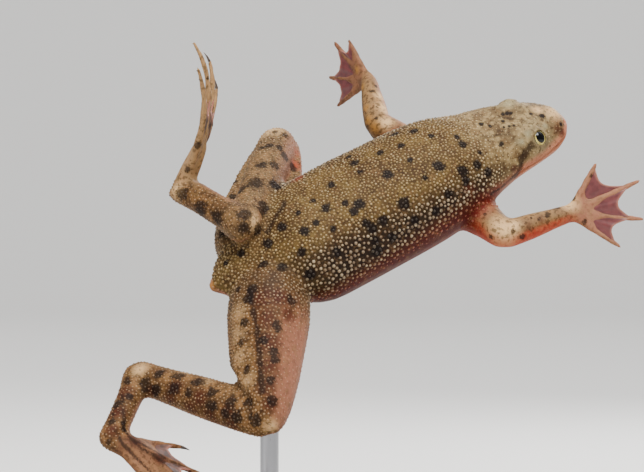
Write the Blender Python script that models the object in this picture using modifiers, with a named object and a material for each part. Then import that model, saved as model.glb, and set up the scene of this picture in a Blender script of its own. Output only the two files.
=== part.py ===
"""African dwarf frog caught in mid swim, a still life-size model on a plain display stand.

The frog is modelled in its own frame, in millimetres: x runs from the vent to the snout, y to the
frog's left and z to its back. The pose empty then turns it and lifts it over the stand, in metres,
+Z up, with the origin in the middle of the stand's underside.
"""
import math

import bmesh
import bpy
import numpy as np
from mathutils import Euler, Matrix, Vector

MM = 0.001

# Driving dimensions, in millimetres
BODY_LENGTH = 35.0
GAP = 0.3
NECK = 26.0
BLOCK_SIZE = 60.0

# The stand
BASE_RADIUS = 22.0
BASE_THICKNESS = 3.0
RIM_ROUNDING = 0.6
ROD_RADIUS = 0.8
ROD_PLACE = (-5.5, -0.5)
ROD_TOP = 32.0

# The pose: the vent's place over the stand in millimetres, and the body's turn in degrees
VENT_PLACE = Vector((-9.9, -5.0, 30.3))
BODY_TURN = Euler([math.radians(angle) for angle in (44.1, -23.9, 17.6)])

# The body's sections from vent to snout: x, half width, height over and under the middle,
# then the middle's place across and up
SECTIONS = [
    (-0.7, 0.0, 0.0, 0.0, 0.0, -0.2),
    (0.0, 0.8, 0.7, 0.7, 0.0, -0.2),
    (1.0, 1.9, 1.6, 1.5, 0.0, 0.0),
    (2.5, 2.9, 2.3, 2.2, 0.0, 0.0),
    (4.0, 3.6, 2.8, 2.7, 0.0, 0.0),
    (5.5, 4.4, 3.5, 3.5, 0.0, 0.0),
    (7.2, 5.4, 4.3, 4.5, 0.0, -0.1),
    (9.2, 5.8, 4.5, 4.9, 0.0, -0.1),
    (12.0, 5.8, 4.6, 4.9, 0.0, 0.1),
    (16.0, 5.7, 4.7, 4.8, 0.0, 0.3),
    (19.5, 5.6, 4.7, 4.7, 0.1, 0.4),
    (22.4, 5.3, 4.4, 4.3, 0.2, 0.5),
    (25.0, 4.5, 3.7, 3.6, 0.3, 0.5),
    (27.7, 3.9, 2.9, 2.9, 0.5, 0.6),
    (30.7, 3.2, 2.35, 2.4, 0.4, 0.45),
    (32.4, 2.6, 2.0, 1.9, 0.25, 0.25),
    (33.9, 1.75, 1.5, 1.25, 0.15, 0.25),
    (BODY_LENGTH, 0.0, 0.0, 0.0, 0.1, 0.1),
]

# Where each limb leaves the body: the left hip is drawn forward with its leg
HIPS = {"r": Vector((3.4, -3.2, -0.5)), "l": Vector((4.8, 2.5, -0.5))}
SHOULDERS = {"r": Vector((23.0, -3.4, -1.2)), "l": Vector((23.0, 3.4, -1.2))}

# Each bone: length, azimuth from the snout's direction towards the left, elevation towards the back
LEG_BONES = {
    "r": {"thigh": (11.5, -122.0, -8.5), "shank": (12.6, 120.3, -9.5), "tarsus": (7.2, -133.7, 6.0)},
    "l": {"thigh": (11.5, 50.6, 1.3), "shank": (14.0, -129.8, 18.5), "tarsus": (7.4, 107.5, -4.8)},
}
ARM_BONES = {
    "r": {"upper_arm": (4.6, -83.7, 7.5), "forearm": (6.3, -4.5, -4.5)},
    "l": {"upper_arm": (6.0, 111.5, 8.0), "forearm": (6.0, 68.0, -4.0)},
}

# Each hand and foot: which way it points and which way its back faces, by azimuth and elevation,
# then how far it curls towards the sole, in degrees
HAND_POSE = {"r": ((-22.4, 2.0), (-114.7, 48.7), 8.0), "l": ((100.2, -18.2), (171.0, 26.5), 12.0)}
FOOT_POSE = {"r": ((-54.4, -23.6), (-20.5, 62.3), 18.0), "l": ((16.8, 47.7), (-39.7, -4.8), 59.2)}

# Girths along each segment: the share of its length, then the radius
GIRTHS = {
    "thigh": ((0.0, 3.4), (0.2, 3.5), (0.45, 3.2), (0.7, 2.85), (0.9, 2.4), (1.0, 2.1)),
    "shank": ((0.0, 1.75), (0.2, 1.8), (0.5, 1.7), (0.8, 1.45), (1.0, 1.4)),
    "tarsus": ((0.0, 1.35), (0.3, 1.1), (0.7, 1.05), (1.0, 1.15)),
    "upper_arm": ((0.0, 2.0), (0.5, 1.55), (1.0, 1.25)),
    "forearm": ((0.0, 1.2), (0.35, 1.15), (0.75, 0.9), (1.0, 0.8)),
}

# The digits, inner side first: length, spread from the axis in degrees, and how far the web reaches
FINGERS = [(4.8, 53.0, 0.95), (6.6, 16.0, 0.86), (6.3, -13.5, 0.86), (5.2, -42.5, 0.92)]
INNER_SPREAD = {"r": 53.0, "l": 34.0}
TOES = [(6.4, 33.0, 0.86), (9.2, 14.0, 0.8), (11.6, 1.0, 0.76), (13.8, -11.0, 0.68), (12.6, -23.0, 0.8)]
CURL_GROWTH = 2.2
WEB_THICKNESS = 0.55
WEB_ROOT = (0.2, 0.45)
WEB_HOLLOW = 0.22
TARSUS_FULLNESS = {"r": 1.0, "l": 1.18}

# A palm and a sole: where it ends, its girths and its flatness; then a digit's root and tip radius
PALM = ((1.2, 0.0), ((0.0, 0.8), (0.5, 0.9), (1.0, 0.65)), 0.7)
SOLE = ((3.6, -0.5), ((0.0, 1.15), (0.5, 1.15), (1.0, 0.9)), 0.75)
FINGER_RADII = (0.45, 0.27)
TOE_RADII = (0.55, 0.3)
DIGIT_TAPER = ((0.45, 0.82), (0.75, 0.66))

# The claws of the inner toes, each a blunt bent cone
CLAWED_TOES = 3
CLAW_LENGTH = 0.8
CLAW_RADII = (0.27, 0.04)
CLAW_BEND = 0.25

# The eyes sit high on the sides of the head, each in a low swelling inside a ring of lid
EYE_RADIUS = 1.0
EYE_PLACE = 30.7
EYE_ANGLE = 42.0
EYE_DEPTH = 0.55
EYE_FORWARD = 0.12
LID_SWELL = 0.35
LID_REACH = 1.6
LID_RADIUS = 0.22
LID_DEPTH = 0.05

# The mouth line runs round the snout from corner to corner, under the nostrils
MOUTH_CORNER = 28.4
MOUTH_DROP = (2.0, -4.0)
MOUTH_RADIUS = 0.17
MOUTH_SHORT_OF_SNOUT = 0.05
NOSTRIL_PLACE = 34.0
NOSTRIL_ANGLE = 52.0
NOSTRIL_RADIUS = 0.2

# How finely each form is drawn: rings along it and sides round it
TORSO_FINENESS = (44, 28)
HEAD_FINENESS = (68, 34)
LEG_FINENESS = (15, 14)
ARM_FINENESS = (11, 12)
PALM_FINENESS = (8, 10)
DIGIT_FINENESS = (9, 6)
NOSTRIL_FINENESS = (8, 6)
SOCKET_FINENESS = (16, 10)
EYE_FINENESS = (14, 8)
LID_SIDES = 16
MOUTH_POINTS = 9
CLAW_SIDES = 6
BASE_SIDES = 40
ROD_SIDES = 16
CURL_STEPS = 12
WEB_SLICES = {"hand": 4, "foot": 9}

# Colour, roughness and metallic value of each kind of surface, by how its nodes' names begin
SURFACES = {
    "eye": ((0.02, 0.02, 0.015), 0.08, 0.0),
    "claw": ((0.015, 0.012, 0.01), 0.35, 0.0),
    "stand_base": ((0.03, 0.03, 0.032), 0.45, 0.0),
    "stand_rod": ((0.6, 0.6, 0.6), 0.3, 1.0),
    "hand": ((0.55, 0.33, 0.26), 0.45, 0.0),
    "foot": ((0.5, 0.36, 0.27), 0.45, 0.0),
    "torso": ((0.33, 0.27, 0.18), 0.5, 0.0),
    "head": ((0.36, 0.29, 0.2), 0.5, 0.0),
    "": ((0.43, 0.33, 0.23), 0.5, 0.0),
}


def paint(node):
    """Gives a node a material of its own in its surface's colour."""
    start = next(start for start in SURFACES if node.name.startswith(start))
    colour, roughness, metallic = SURFACES[start]
    material = bpy.data.materials.new(node.name + "_surface")
    material.use_nodes = True
    shader = material.node_tree.nodes["Principled BSDF"]
    shader.inputs["Base Color"].default_value = (*colour, 1.0)
    shader.inputs["Roughness"].default_value = roughness
    shader.inputs["Metallic"].default_value = metallic
    node.data.materials.clear()
    node.data.materials.append(material)


def show_in(collection, name, mesh):
    """An object for the mesh, linked into the collection."""
    thing = bpy.data.objects.new(name, mesh)
    collection.objects.link(thing)
    return thing


def to_object(name, bm, collection):
    """Writes a bmesh in millimetres as an object in metres, its faces outwards."""
    bmesh.ops.recalc_face_normals(bm, faces=bm.faces)
    if bm.calc_volume(signed=True) < 0:
        bmesh.ops.reverse_faces(bm, faces=bm.faces)
    bmesh.ops.scale(bm, vec=(MM, MM, MM), verts=bm.verts)
    mesh = bpy.data.meshes.new(name)
    bm.to_mesh(mesh)
    bm.free()
    return show_in(collection, name, mesh)


def to_bmesh(thing):
    """The object's mesh as a bmesh in millimetres."""
    bm = bmesh.new()
    bm.from_mesh(thing.data)
    bmesh.ops.scale(bm, vec=(1 / MM, 1 / MM, 1 / MM), verts=bm.verts)
    return bm


def replace_mesh(thing, bm):
    """Puts a bmesh in millimetres back into its object."""
    bmesh.ops.scale(bm, vec=(MM, MM, MM), verts=bm.verts)
    bm.to_mesh(thing.data)
    bm.free()


def eased(x, knots):
    """A smooth curve through (place, value) knots that never swings past them."""
    places = [knot[0] for knot in knots]
    values = [knot[1] for knot in knots]
    x = min(max(x, places[0]), places[-1])
    i = min(max(int(np.searchsorted(places, x)) - 1, 0), len(knots) - 2)
    slopes = []
    for j in (i, i + 1):
        if j in (0, len(knots) - 1):
            a = min(j, len(knots) - 2)
            slopes.append((values[a + 1] - values[a]) / (places[a + 1] - places[a]))
            continue
        before = (values[j] - values[j - 1]) / (places[j] - places[j - 1])
        after = (values[j + 1] - values[j]) / (places[j + 1] - places[j])
        slopes.append(0.0 if before * after <= 0 else 2 * before * after / (before + after))
    span = places[i + 1] - places[i]
    t = (x - places[i]) / span
    start = (2 * t**3 - 3 * t**2 + 1) * values[i] + (t**3 - 2 * t**2 + t) * span * slopes[0]
    end = (3 * t**2 - 2 * t**3) * values[i + 1] + (t**3 - t**2) * span * slopes[1]
    return start + end


def round_radius(x, knots):
    """A radius read from its squares, so that a form closes with a round end."""
    return math.sqrt(max(eased(x, [(place, radius**2) for place, radius in knots]), 0.0))


def direction(azimuth, elevation):
    """The unit vector at an azimuth from x towards y and an elevation towards z, in degrees."""
    turn = math.radians(azimuth)
    rise = math.radians(elevation)
    return Vector((math.cos(rise) * math.cos(turn), math.cos(rise) * math.sin(turn), math.sin(rise)))


def soft_form(rings, sides, rule):
    """A closed form from a sphere whose every point is moved to rule(share along it, angle round it)."""
    bm = bmesh.new()
    bmesh.ops.create_uvsphere(bm, u_segments=sides, v_segments=rings, radius=1.0)
    for vert in bm.verts:
        share = math.acos(max(-1.0, min(1.0, vert.co.z))) / math.pi
        vert.co = rule(share, math.atan2(vert.co.y, vert.co.x))
    return bm


def ball(radius, fineness):
    """A sphere of this many sides and rings."""
    bm = bmesh.new()
    bmesh.ops.create_uvsphere(bm, u_segments=fineness[0], v_segments=fineness[1], radius=radius)
    return bm


def cone(radii, height, foot, sides):
    """An upright cone or cylinder from its foot's height, with a flat end at each of its radii."""
    bm = bmesh.new()
    low, high = radii
    bmesh.ops.create_cone(bm, cap_ends=True, segments=sides, radius1=low, radius2=high, depth=height)
    bmesh.ops.translate(bm, vec=(0, 0, foot + height / 2), verts=bm.verts)
    return bm


def frame_of(forward, upward):
    """A turn whose x is forward and whose z lies as near upward as it can."""
    x = forward.normalized()
    z = (upward - x * upward.dot(x)).normalized()
    return Matrix((x, z.cross(x), z)).transposed()


def limb(start, end, radii, rings, sides, flatness=1.0):
    """A round-ended form from joint to joint, its height a share of its width by the flatness."""
    bone = end - start
    length = bone.length
    turn = frame_of(bone, Vector((0, 0, 1)))
    knots = [(share * length, radius) for share, radius in radii]
    knots.insert(0, (-radii[0][1], 0.0))
    knots.append((length + radii[-1][1], 0.0))
    low, high = knots[0][0], knots[-1][0]

    def rule(share, angle):
        x = low + (high - low) * (1 - math.cos(math.pi * share)) / 2
        radius = round_radius(x, knots)
        return start + turn @ Vector((x, radius * math.cos(angle), radius * flatness * math.sin(angle)))

    return soft_form(rings, sides, rule)


def keep_largest(bm):
    """Leaves only the largest closed surface."""
    islands = []
    unseen = set(bm.verts)
    while unseen:
        seed = unseen.pop()
        island = {seed}
        edge_of_island = [seed]
        while edge_of_island:
            vert = edge_of_island.pop()
            for edge in vert.link_edges:
                other = edge.other_vert(vert)
                if other in unseen:
                    unseen.remove(other)
                    island.add(other)
                    edge_of_island.append(other)
        islands.append(island)
    largest = max(islands, key=len)
    bmesh.ops.delete(bm, geom=[vert for vert in bm.verts if vert not in largest], context="VERTS")


def combine(thing, others, operation, solver="EXACT"):
    """Joins closed objects to one, or cuts them from it, and removes them."""
    batch = bpy.data.collections.new("batch")
    bpy.context.scene.collection.children.link(batch)
    for other in others:
        batch.objects.link(other)
    boolean = thing.modifiers.new(operation.title(), "BOOLEAN")
    boolean.operand_type = "COLLECTION"
    boolean.collection = batch
    boolean.operation = operation
    boolean.solver = solver
    bpy.context.view_layer.update()
    evaluated = thing.evaluated_get(bpy.context.evaluated_depsgraph_get())
    joined = bpy.data.meshes.new_from_object(evaluated)
    thing.modifiers.clear()
    thing.data = joined
    for other in others:
        bpy.data.objects.remove(other)
    bpy.data.collections.remove(batch)
    bm = to_bmesh(thing)
    bmesh.ops.triangulate(bm, faces=[face for face in bm.faces if len(face.verts) > 4])
    bmesh.ops.dissolve_degenerate(bm, dist=0.002, edges=bm.edges)
    keep_largest(bm)
    replace_mesh(thing, bm)


def grown(thing, amount):
    """A copy of the object, larger all round by the amount, to cut its neighbours with."""
    bm = to_bmesh(thing)
    bm.normal_update()
    moves = [vert.normal * amount for vert in bm.verts]
    for vert, move in zip(bm.verts, moves):
        vert.co += move
    return to_object(thing.name + "_clearance", bm, cutters)


def carve(thing, clearance_of_neighbour):
    """Cuts the object clear of a neighbour, whose enlarged copy stays."""
    cutter = show_in(cutters, "carving", clearance_of_neighbour.data.copy())
    combine(thing, [cutter], "DIFFERENCE")


def section_at(x):
    """The body's half width, heights and middle at a place along it."""
    columns = list(zip(*SECTIONS))
    half = round_radius(x, list(zip(columns[0], columns[1])))
    over = round_radius(x, list(zip(columns[0], columns[2])))
    under = round_radius(x, list(zip(columns[0], columns[3])))
    across = eased(x, list(zip(columns[0], columns[4])))
    up = eased(x, list(zip(columns[0], columns[5])))
    return half, over, under, across, up


def skin_point(x, angle):
    """The point of the body's surface at a place along it and an angle from its left to its back."""
    half, over, under, across, up = section_at(x)
    height = over if math.sin(angle) > 0 else under
    return Vector((x, across + half * math.cos(angle), up + height * math.sin(angle)))


def eye_seat(side):
    """Where the eye meets the skin, and which way it looks."""
    angle = math.radians(EYE_ANGLE if side > 0 else 180 - EYE_ANGLE)
    seat = skin_point(EYE_PLACE, angle)
    half, over = section_at(EYE_PLACE)[:2]
    outward = Vector((EYE_FORWARD, math.cos(angle) / half, math.sin(angle) / over))
    return seat, outward.normalized()


def body_form(rings, sides):
    """The whole body from vent to snout, with a low swelling round each eye."""
    seats = [eye_seat(side) for side in (1, -1)]
    low, high = SECTIONS[0][0], SECTIONS[-1][0]

    def rule(share, angle):
        x = low + (high - low) * (1 - math.cos(math.pi * share)) / 2
        point = skin_point(x, angle)
        for seat, outward in seats:
            reach = (point - seat).length / LID_REACH
            point = point + outward * LID_SWELL * math.exp(-reach**2)
        return point

    return soft_form(rings, sides, rule)


def tube(name, points, radius, ring=False):
    """A round tube through the points, closed at its ends or run round as a ring."""
    curve = bpy.data.curves.new(name, "CURVE")
    curve.dimensions = "3D"
    curve.bevel_depth = radius * MM
    curve.bevel_resolution = 1
    curve.use_fill_caps = True
    spline = curve.splines.new("POLY")
    spline.points.add(len(points) - 1)
    for knot, point in zip(spline.points, points):
        knot.co = (*(point * MM), 1.0)
    spline.use_cyclic_u = ring
    return curve_to_mesh(name, curve)


def flat_sheet(name, outline, thickness):
    """A closed flat sheet with the outline in x and y, its middle plane at z = 0."""
    curve = bpy.data.curves.new(name, "CURVE")
    curve.dimensions = "2D"
    curve.fill_mode = "BOTH"
    curve.extrude = thickness / 2 * MM
    spline = curve.splines.new("POLY")
    spline.points.add(len(outline) - 1)
    for knot, (x, y) in zip(spline.points, outline):
        knot.co = (x * MM, y * MM, 0.0, 1.0)
    spline.use_cyclic_u = True
    return curve_to_mesh(name, curve)


def curve_to_mesh(name, curve):
    """Makes the curve a closed mesh object."""
    source = show_in(cutters, name + "_curve", curve)
    bpy.context.view_layer.update()
    evaluated = source.evaluated_get(bpy.context.evaluated_depsgraph_get())
    mesh = bpy.data.meshes.new_from_object(evaluated)
    thing = show_in(cutters, name, mesh)
    bpy.data.objects.remove(source)
    bm = to_bmesh(thing)
    bmesh.ops.remove_doubles(bm, verts=bm.verts, dist=0.001)
    bmesh.ops.recalc_face_normals(bm, faces=bm.faces)
    replace_mesh(thing, bm)
    return thing


def along_digit(spread, distance, side):
    """A point on the line of a digit, in the hand's or foot's own flat frame."""
    angle = -math.radians(spread) * side
    return Vector((distance * math.cos(angle), distance * math.sin(angle), 0.0))


def web_outline(digits, side, steps=4):
    """The web's edge: from the root out along the first digit, then in a hollow curve to each next."""
    outline = [(-WEB_ROOT[0], WEB_ROOT[1] * side), (-WEB_ROOT[0], -WEB_ROOT[1] * side)]
    for here, onward in zip(digits, digits[1:]):
        tip = along_digit(here[1], here[0] * here[2], side)
        next_tip = along_digit(onward[1], onward[0] * onward[2], side)
        middle = (tip + next_tip) / 2 * (1 - WEB_HOLLOW)
        outline.append((tip.x, tip.y))
        for i in range(1, steps):
            t = i / steps
            point = tip * (1 - t) ** 2 + middle * 2 * t * (1 - t) + next_tip * t**2
            outline.append((point.x, point.y))
    last = along_digit(digits[-1][1], digits[-1][0] * digits[-1][2], side)
    outline.append((last.x, last.y))
    return outline


def webbed(name, digits, side, digit_radii, palm, curl):
    """A hand or foot in its own frame: digits and web fanned flat, then curled towards the sole."""
    length = max(digit[0] for digit in digits)
    (reach, across), girths, flatness = palm
    palm_end = Vector((reach, across * side, 0))
    whole = limb(Vector((0, 0, 0)), palm_end, girths, *PALM_FINENESS, flatness)
    whole = to_object(name, whole, body_collection)
    web = flat_sheet(name + "_web", web_outline(digits, side), WEB_THICKNESS)
    bm = to_bmesh(web)
    bmesh.ops.triangulate(bm, faces=bm.faces)
    slices = WEB_SLICES[name.split("_")[0]]
    for i in range(1, slices):
        geometry = bm.verts[:] + bm.edges[:] + bm.faces[:]
        place = (length * i / slices, 0, 0)
        bmesh.ops.bisect_plane(bm, geom=geometry, dist=0.0005, plane_co=place, plane_no=(1, 0, 0))
    replace_mesh(web, bm)
    pieces = [web]
    root_radius, tip_radius = digit_radii
    radii = [(0.0, root_radius)]
    radii += [(share, root_radius * thinning) for share, thinning in DIGIT_TAPER]
    radii.append((1.0, tip_radius))
    for i, (reach, spread, webbing) in enumerate(digits):
        tip = along_digit(spread, reach - tip_radius, side)
        digit = limb(Vector((0, 0, 0)), tip, radii, *DIGIT_FINENESS)
        pieces.append(to_object("%s_digit_%d" % (name, i), digit, cutters))
    combine(whole, pieces, "UNION", "MANIFOLD")
    bm = to_bmesh(whole)
    bmesh.ops.triangulate(bm, faces=bm.faces)
    for vert in bm.verts:
        vert.co = curled(vert.co, curl, length)
    replace_mesh(whole, bm)
    return whole


def curled(point, curl, length):
    """Bends a flat hand's or foot's point towards the sole, more and more towards the tips."""
    x = max(point.x, 0.0)
    full = math.radians(curl)
    reach = x / length
    turn = full * reach**CURL_GROWTH
    along = Vector((0, 0, 0))
    for i in range(CURL_STEPS):
        part = full * (reach * (i + 0.5) / CURL_STEPS) ** CURL_GROWTH
        along += Vector((math.cos(part), 0, -math.sin(part))) * x / CURL_STEPS
    lift = Vector((math.sin(turn), 0, math.cos(turn))) * point.z
    return along + lift + Vector((min(point.x, 0.0), point.y, 0))


def pose_points(thing, turn, place):
    """Moves the object's own points from a hand's or foot's frame to the body's frame."""
    bm = to_bmesh(thing)
    for vert in bm.verts:
        vert.co = place + turn @ vert.co
    replace_mesh(thing, bm)


def trim(thing, point, normal, solver="EXACT"):
    """Cuts the object flat, half a gap short of the point, and takes away what lies past it."""
    block = bmesh.new()
    bmesh.ops.create_cube(block, size=BLOCK_SIZE)
    bmesh.ops.rotate(block, matrix=normal.to_track_quat("X", "Z").to_matrix(), verts=block.verts)
    bmesh.ops.translate(block, vec=point + normal * (BLOCK_SIZE - GAP) / 2, verts=block.verts)
    combine(thing, [to_object("block", block, cutters)], "DIFFERENCE", solver)


def mitre(first, second, joint, way_in, way_out):
    """Parts two segments at their joint by the plane that halves its angle."""
    normal = (way_in.normalized() + way_out.normalized()).normalized()
    trim(first, joint, normal)
    trim(second, joint, -normal, "MANIFOLD")


def make_body():
    """The head and the torso, parted at the neck."""
    torso = to_object("torso", body_form(*TORSO_FINENESS), body_collection)
    whole = grown(torso, GAP)
    head = to_object("head", body_form(*HEAD_FINENESS), body_collection)
    neck = Vector((NECK, 0, 0))
    trim(torso, neck, Vector((1, 0, 0)))
    trim(head, neck, Vector((-1, 0, 0)))
    return head, torso, whole


def make_face(head):
    """The mouth line, nostrils, lid rims and eyes."""
    mouth = []
    for side, order in ((1, 1), (-1, -1)):
        places = np.linspace(MOUTH_CORNER, BODY_LENGTH - MOUTH_SHORT_OF_SNOUT, MOUTH_POINTS)[::order]
        for x in places:
            drop = math.radians(np.interp(x, (MOUTH_CORNER, BODY_LENGTH), MOUTH_DROP))
            mouth.append(skin_point(x, -drop if side > 0 else math.pi + drop))
    cuts = [tube("mouth_line", mouth, MOUTH_RADIUS)]
    rims = []
    for side in (1, -1):
        angle = NOSTRIL_ANGLE if side > 0 else 180 - NOSTRIL_ANGLE
        nostril = ball(NOSTRIL_RADIUS, NOSTRIL_FINENESS)
        bmesh.ops.translate(nostril, vec=skin_point(NOSTRIL_PLACE, math.radians(angle)), verts=nostril.verts)
        cuts.append(to_object("nostril", nostril, cutters))
        seat, outward = eye_seat(side)
        middle = seat - outward * EYE_DEPTH
        socket = ball(EYE_RADIUS + GAP, SOCKET_FINENESS)
        bmesh.ops.translate(socket, vec=middle, verts=socket.verts)
        cuts.append(to_object("socket", socket, cutters))
        eye = ball(EYE_RADIUS, EYE_FINENESS)
        turn = frame_of(Vector((1, 0, 0)), outward)
        bmesh.ops.rotate(eye, matrix=turn, verts=eye.verts)
        bmesh.ops.translate(eye, vec=middle, verts=eye.verts)
        to_object("eye_" + ("l" if side > 0 else "r"), eye, body_collection)
        rim = seat - outward * LID_DEPTH
        ring = [
            rim + turn @ Vector((math.cos(a), math.sin(a), 0)) * (EYE_RADIUS + GAP)
            for a in np.linspace(0, 2 * math.pi, LID_SIDES + 1)[:-1]
        ]
        rims.append(tube("lid", ring, LID_RADIUS, ring=True))
    combine(head, rims, "UNION")
    combine(head, cuts, "DIFFERENCE")


def make_claws(side, letter, turn, place, curl):
    """Small claws on the inner toes, each a bent cone whose blunt base faces its toe's end."""
    length = max(toe[0] for toe in TOES)
    for i, (reach, spread, webbing) in enumerate(TOES[:CLAWED_TOES]):
        claw = cone(CLAW_RADII, CLAW_LENGTH, 0.0, CLAW_SIDES)
        start = along_digit(spread, reach + GAP, side)
        ahead = along_digit(spread, 1.0, side)
        fan = frame_of(ahead, Vector((0, 0, 1)))
        for vert in claw.verts:
            bend = CLAW_BEND * (vert.co.z / CLAW_LENGTH) ** 2
            flat_place = start + fan @ Vector((vert.co.z, vert.co.x, vert.co.y - bend))
            vert.co = place + turn @ curled(flat_place, curl, length)
        to_object("claw_%s_%d" % (letter, i + 1), claw, body_collection)


def make_leg(side, letter, torso_clearance):
    """Thigh, shank, tarsus and foot of one side."""
    joint = HIPS[letter]
    segments = []
    ways = []
    for name in ("thigh", "shank", "tarsus"):
        length, azimuth, elevation = LEG_BONES[letter][name]
        way = direction(azimuth, elevation)
        fullness = TARSUS_FULLNESS[letter] if name == "tarsus" else 1.0
        girths = [(share, radius * fullness) for share, radius in GIRTHS[name]]
        form = limb(joint, joint + way * length, girths, *LEG_FINENESS)
        segments.append(to_object("%s_%s" % (name, letter), form, body_collection))
        if ways:
            mitre(segments[-2], segments[-1], joint, ways[-1], way)
        ways.append(way)
        joint = joint + way * length
    forward, upward, curl = FOOT_POSE[letter]
    turn = frame_of(direction(*forward), direction(*upward))
    foot = webbed("foot_" + letter, TOES, side, TOE_RADII, SOLE, curl)
    pose_points(foot, turn, joint)
    mitre(segments[-1], foot, joint, ways[-1], direction(*forward))
    make_claws(side, letter, turn, joint, curl)
    thigh, shank, tarsus = segments
    carve(thigh, torso_clearance)
    carve(shank, torso_clearance)
    carve(tarsus, torso_clearance)
    thigh_clearance = grown(thigh, GAP)
    carve(tarsus, thigh_clearance)
    return thigh_clearance


def make_arm(side, letter, torso_clearance):
    """Upper arm, forearm and hand of one side."""
    joint = SHOULDERS[letter]
    segments = []
    ways = []
    for name in ("upper_arm", "forearm"):
        length, azimuth, elevation = ARM_BONES[letter][name]
        way = direction(azimuth, elevation)
        form = limb(joint, joint + way * length, GIRTHS[name], *ARM_FINENESS)
        segments.append(to_object("%s_%s" % (name, letter), form, body_collection))
        if ways:
            mitre(segments[-2], segments[-1], joint, ways[-1], way)
        ways.append(way)
        joint = joint + way * length
    forward, upward, curl = HAND_POSE[letter]
    turn = frame_of(direction(*forward), direction(*upward))
    reach, spread, webbing = FINGERS[0]
    fingers = [(reach, INNER_SPREAD[letter], webbing)] + FINGERS[1:]
    hand = webbed("hand_" + letter, fingers, side, FINGER_RADII, PALM, curl)
    pose_points(hand, turn, joint)
    mitre(segments[-1], hand, joint, ways[-1], direction(*forward))
    carve(segments[0], torso_clearance)


def make_stand(torso_clearance, thigh_clearances):
    """A flat round base and the one rod that carries the frog under its pelvis."""
    base = cone((BASE_RADIUS, BASE_RADIUS), BASE_THICKNESS, 0.0, BASE_SIDES)
    thing = to_object("stand_base", base, body_collection)
    rounding = thing.modifiers.new("Rounded rim", "BEVEL")
    rounding.width = RIM_ROUNDING * MM
    rounding.segments = 2
    rounding.limit_method = "ANGLE"
    foot_height = BASE_THICKNESS + GAP
    rod = cone((ROD_RADIUS, ROD_RADIUS), ROD_TOP - foot_height, foot_height, ROD_SIDES)
    bmesh.ops.translate(rod, vec=(*ROD_PLACE, 0), verts=rod.verts)
    thing = to_object("stand_rod", rod, body_collection)
    posed = []
    for neighbour in (torso_clearance, *thigh_clearances):
        mesh = neighbour.data.copy()
        mesh.transform(Matrix.LocRotScale(VENT_PLACE * MM, BODY_TURN, None))
        posed.append(show_in(cutters, "posed_body", mesh))
    combine(thing, posed, "DIFFERENCE")


for leftover in list(bpy.data.objects):
    bpy.data.objects.remove(leftover)
body_collection = bpy.data.collections.new("african_dwarf_frog")
cutters = bpy.data.collections.new("cutters")
bpy.context.scene.collection.children.link(body_collection)
bpy.context.scene.collection.children.link(cutters)

head_node, torso_node, clearance = make_body()
make_face(head_node)
thighs = []
for sign, letter_of_side in ((1, "l"), (-1, "r")):
    thighs.append(make_leg(sign, letter_of_side, clearance))
    make_arm(sign, letter_of_side, clearance)
make_stand(clearance, thighs)

pose = bpy.data.objects.new("pose", None)
body_collection.objects.link(pose)
pose.location = VENT_PLACE * MM
pose.rotation_euler = BODY_TURN
for node in body_collection.objects:
    if node.type != "MESH":
        continue
    paint(node)
    if not node.name.startswith("stand_"):
        node.parent = pose
for cutter in cutters.objects:
    cutter.hide_render = True
    cutter.display_type = "WIRE"
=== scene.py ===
"""The looks of a life-size African dwarf frog on its display stand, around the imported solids.

Lengths are millimetres until a piece is finished. The frog is made in its own frame, with x from
the vent to the snout, y to the frog's left and z to its back, and is then turned into its pose.
"""
import itertools
import math
import random

import bmesh
import bpy
import numpy as np
from mathutils import Euler, Matrix, Vector
from mathutils.bvhtree import BVHTree


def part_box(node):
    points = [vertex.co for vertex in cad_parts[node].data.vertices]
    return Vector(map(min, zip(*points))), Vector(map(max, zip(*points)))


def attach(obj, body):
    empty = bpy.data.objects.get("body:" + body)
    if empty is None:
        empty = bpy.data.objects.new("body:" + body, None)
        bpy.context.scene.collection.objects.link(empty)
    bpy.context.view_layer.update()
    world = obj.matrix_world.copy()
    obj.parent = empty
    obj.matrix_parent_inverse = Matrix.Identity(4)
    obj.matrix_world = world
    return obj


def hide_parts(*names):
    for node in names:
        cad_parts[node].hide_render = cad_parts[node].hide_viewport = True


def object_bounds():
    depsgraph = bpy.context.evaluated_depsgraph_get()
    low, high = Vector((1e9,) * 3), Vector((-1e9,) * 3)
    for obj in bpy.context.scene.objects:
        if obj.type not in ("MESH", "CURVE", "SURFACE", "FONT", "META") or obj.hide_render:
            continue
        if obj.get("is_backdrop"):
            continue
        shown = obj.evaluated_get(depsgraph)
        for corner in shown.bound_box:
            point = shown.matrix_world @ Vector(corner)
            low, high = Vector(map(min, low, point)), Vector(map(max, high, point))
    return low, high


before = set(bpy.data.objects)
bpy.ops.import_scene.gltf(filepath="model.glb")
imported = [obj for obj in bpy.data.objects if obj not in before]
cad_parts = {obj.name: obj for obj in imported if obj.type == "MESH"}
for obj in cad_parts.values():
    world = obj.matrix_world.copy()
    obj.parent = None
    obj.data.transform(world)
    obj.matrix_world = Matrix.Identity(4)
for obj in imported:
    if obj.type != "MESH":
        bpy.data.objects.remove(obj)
cad_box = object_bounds()

# The view is the photograph's: level with the frog, close to it, through a long macro lens.
# The middle of the picture lies on a point of the frog's flank.
MM = 0.001
LOOKED_AT = Vector((-0.99, 0.0, 34.33))
VIEW_DISTANCE = 220.0
PICTURE = (644, 472)
PIXELS_PER_SLOPE = 2559.0
SENSOR = 36.0
NEAREST = 10.0


def placed(name, data):
    """A new object in the scene that shows this data."""
    thing = bpy.data.objects.new(name, data)
    bpy.context.scene.collection.objects.link(thing)
    return thing


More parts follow.
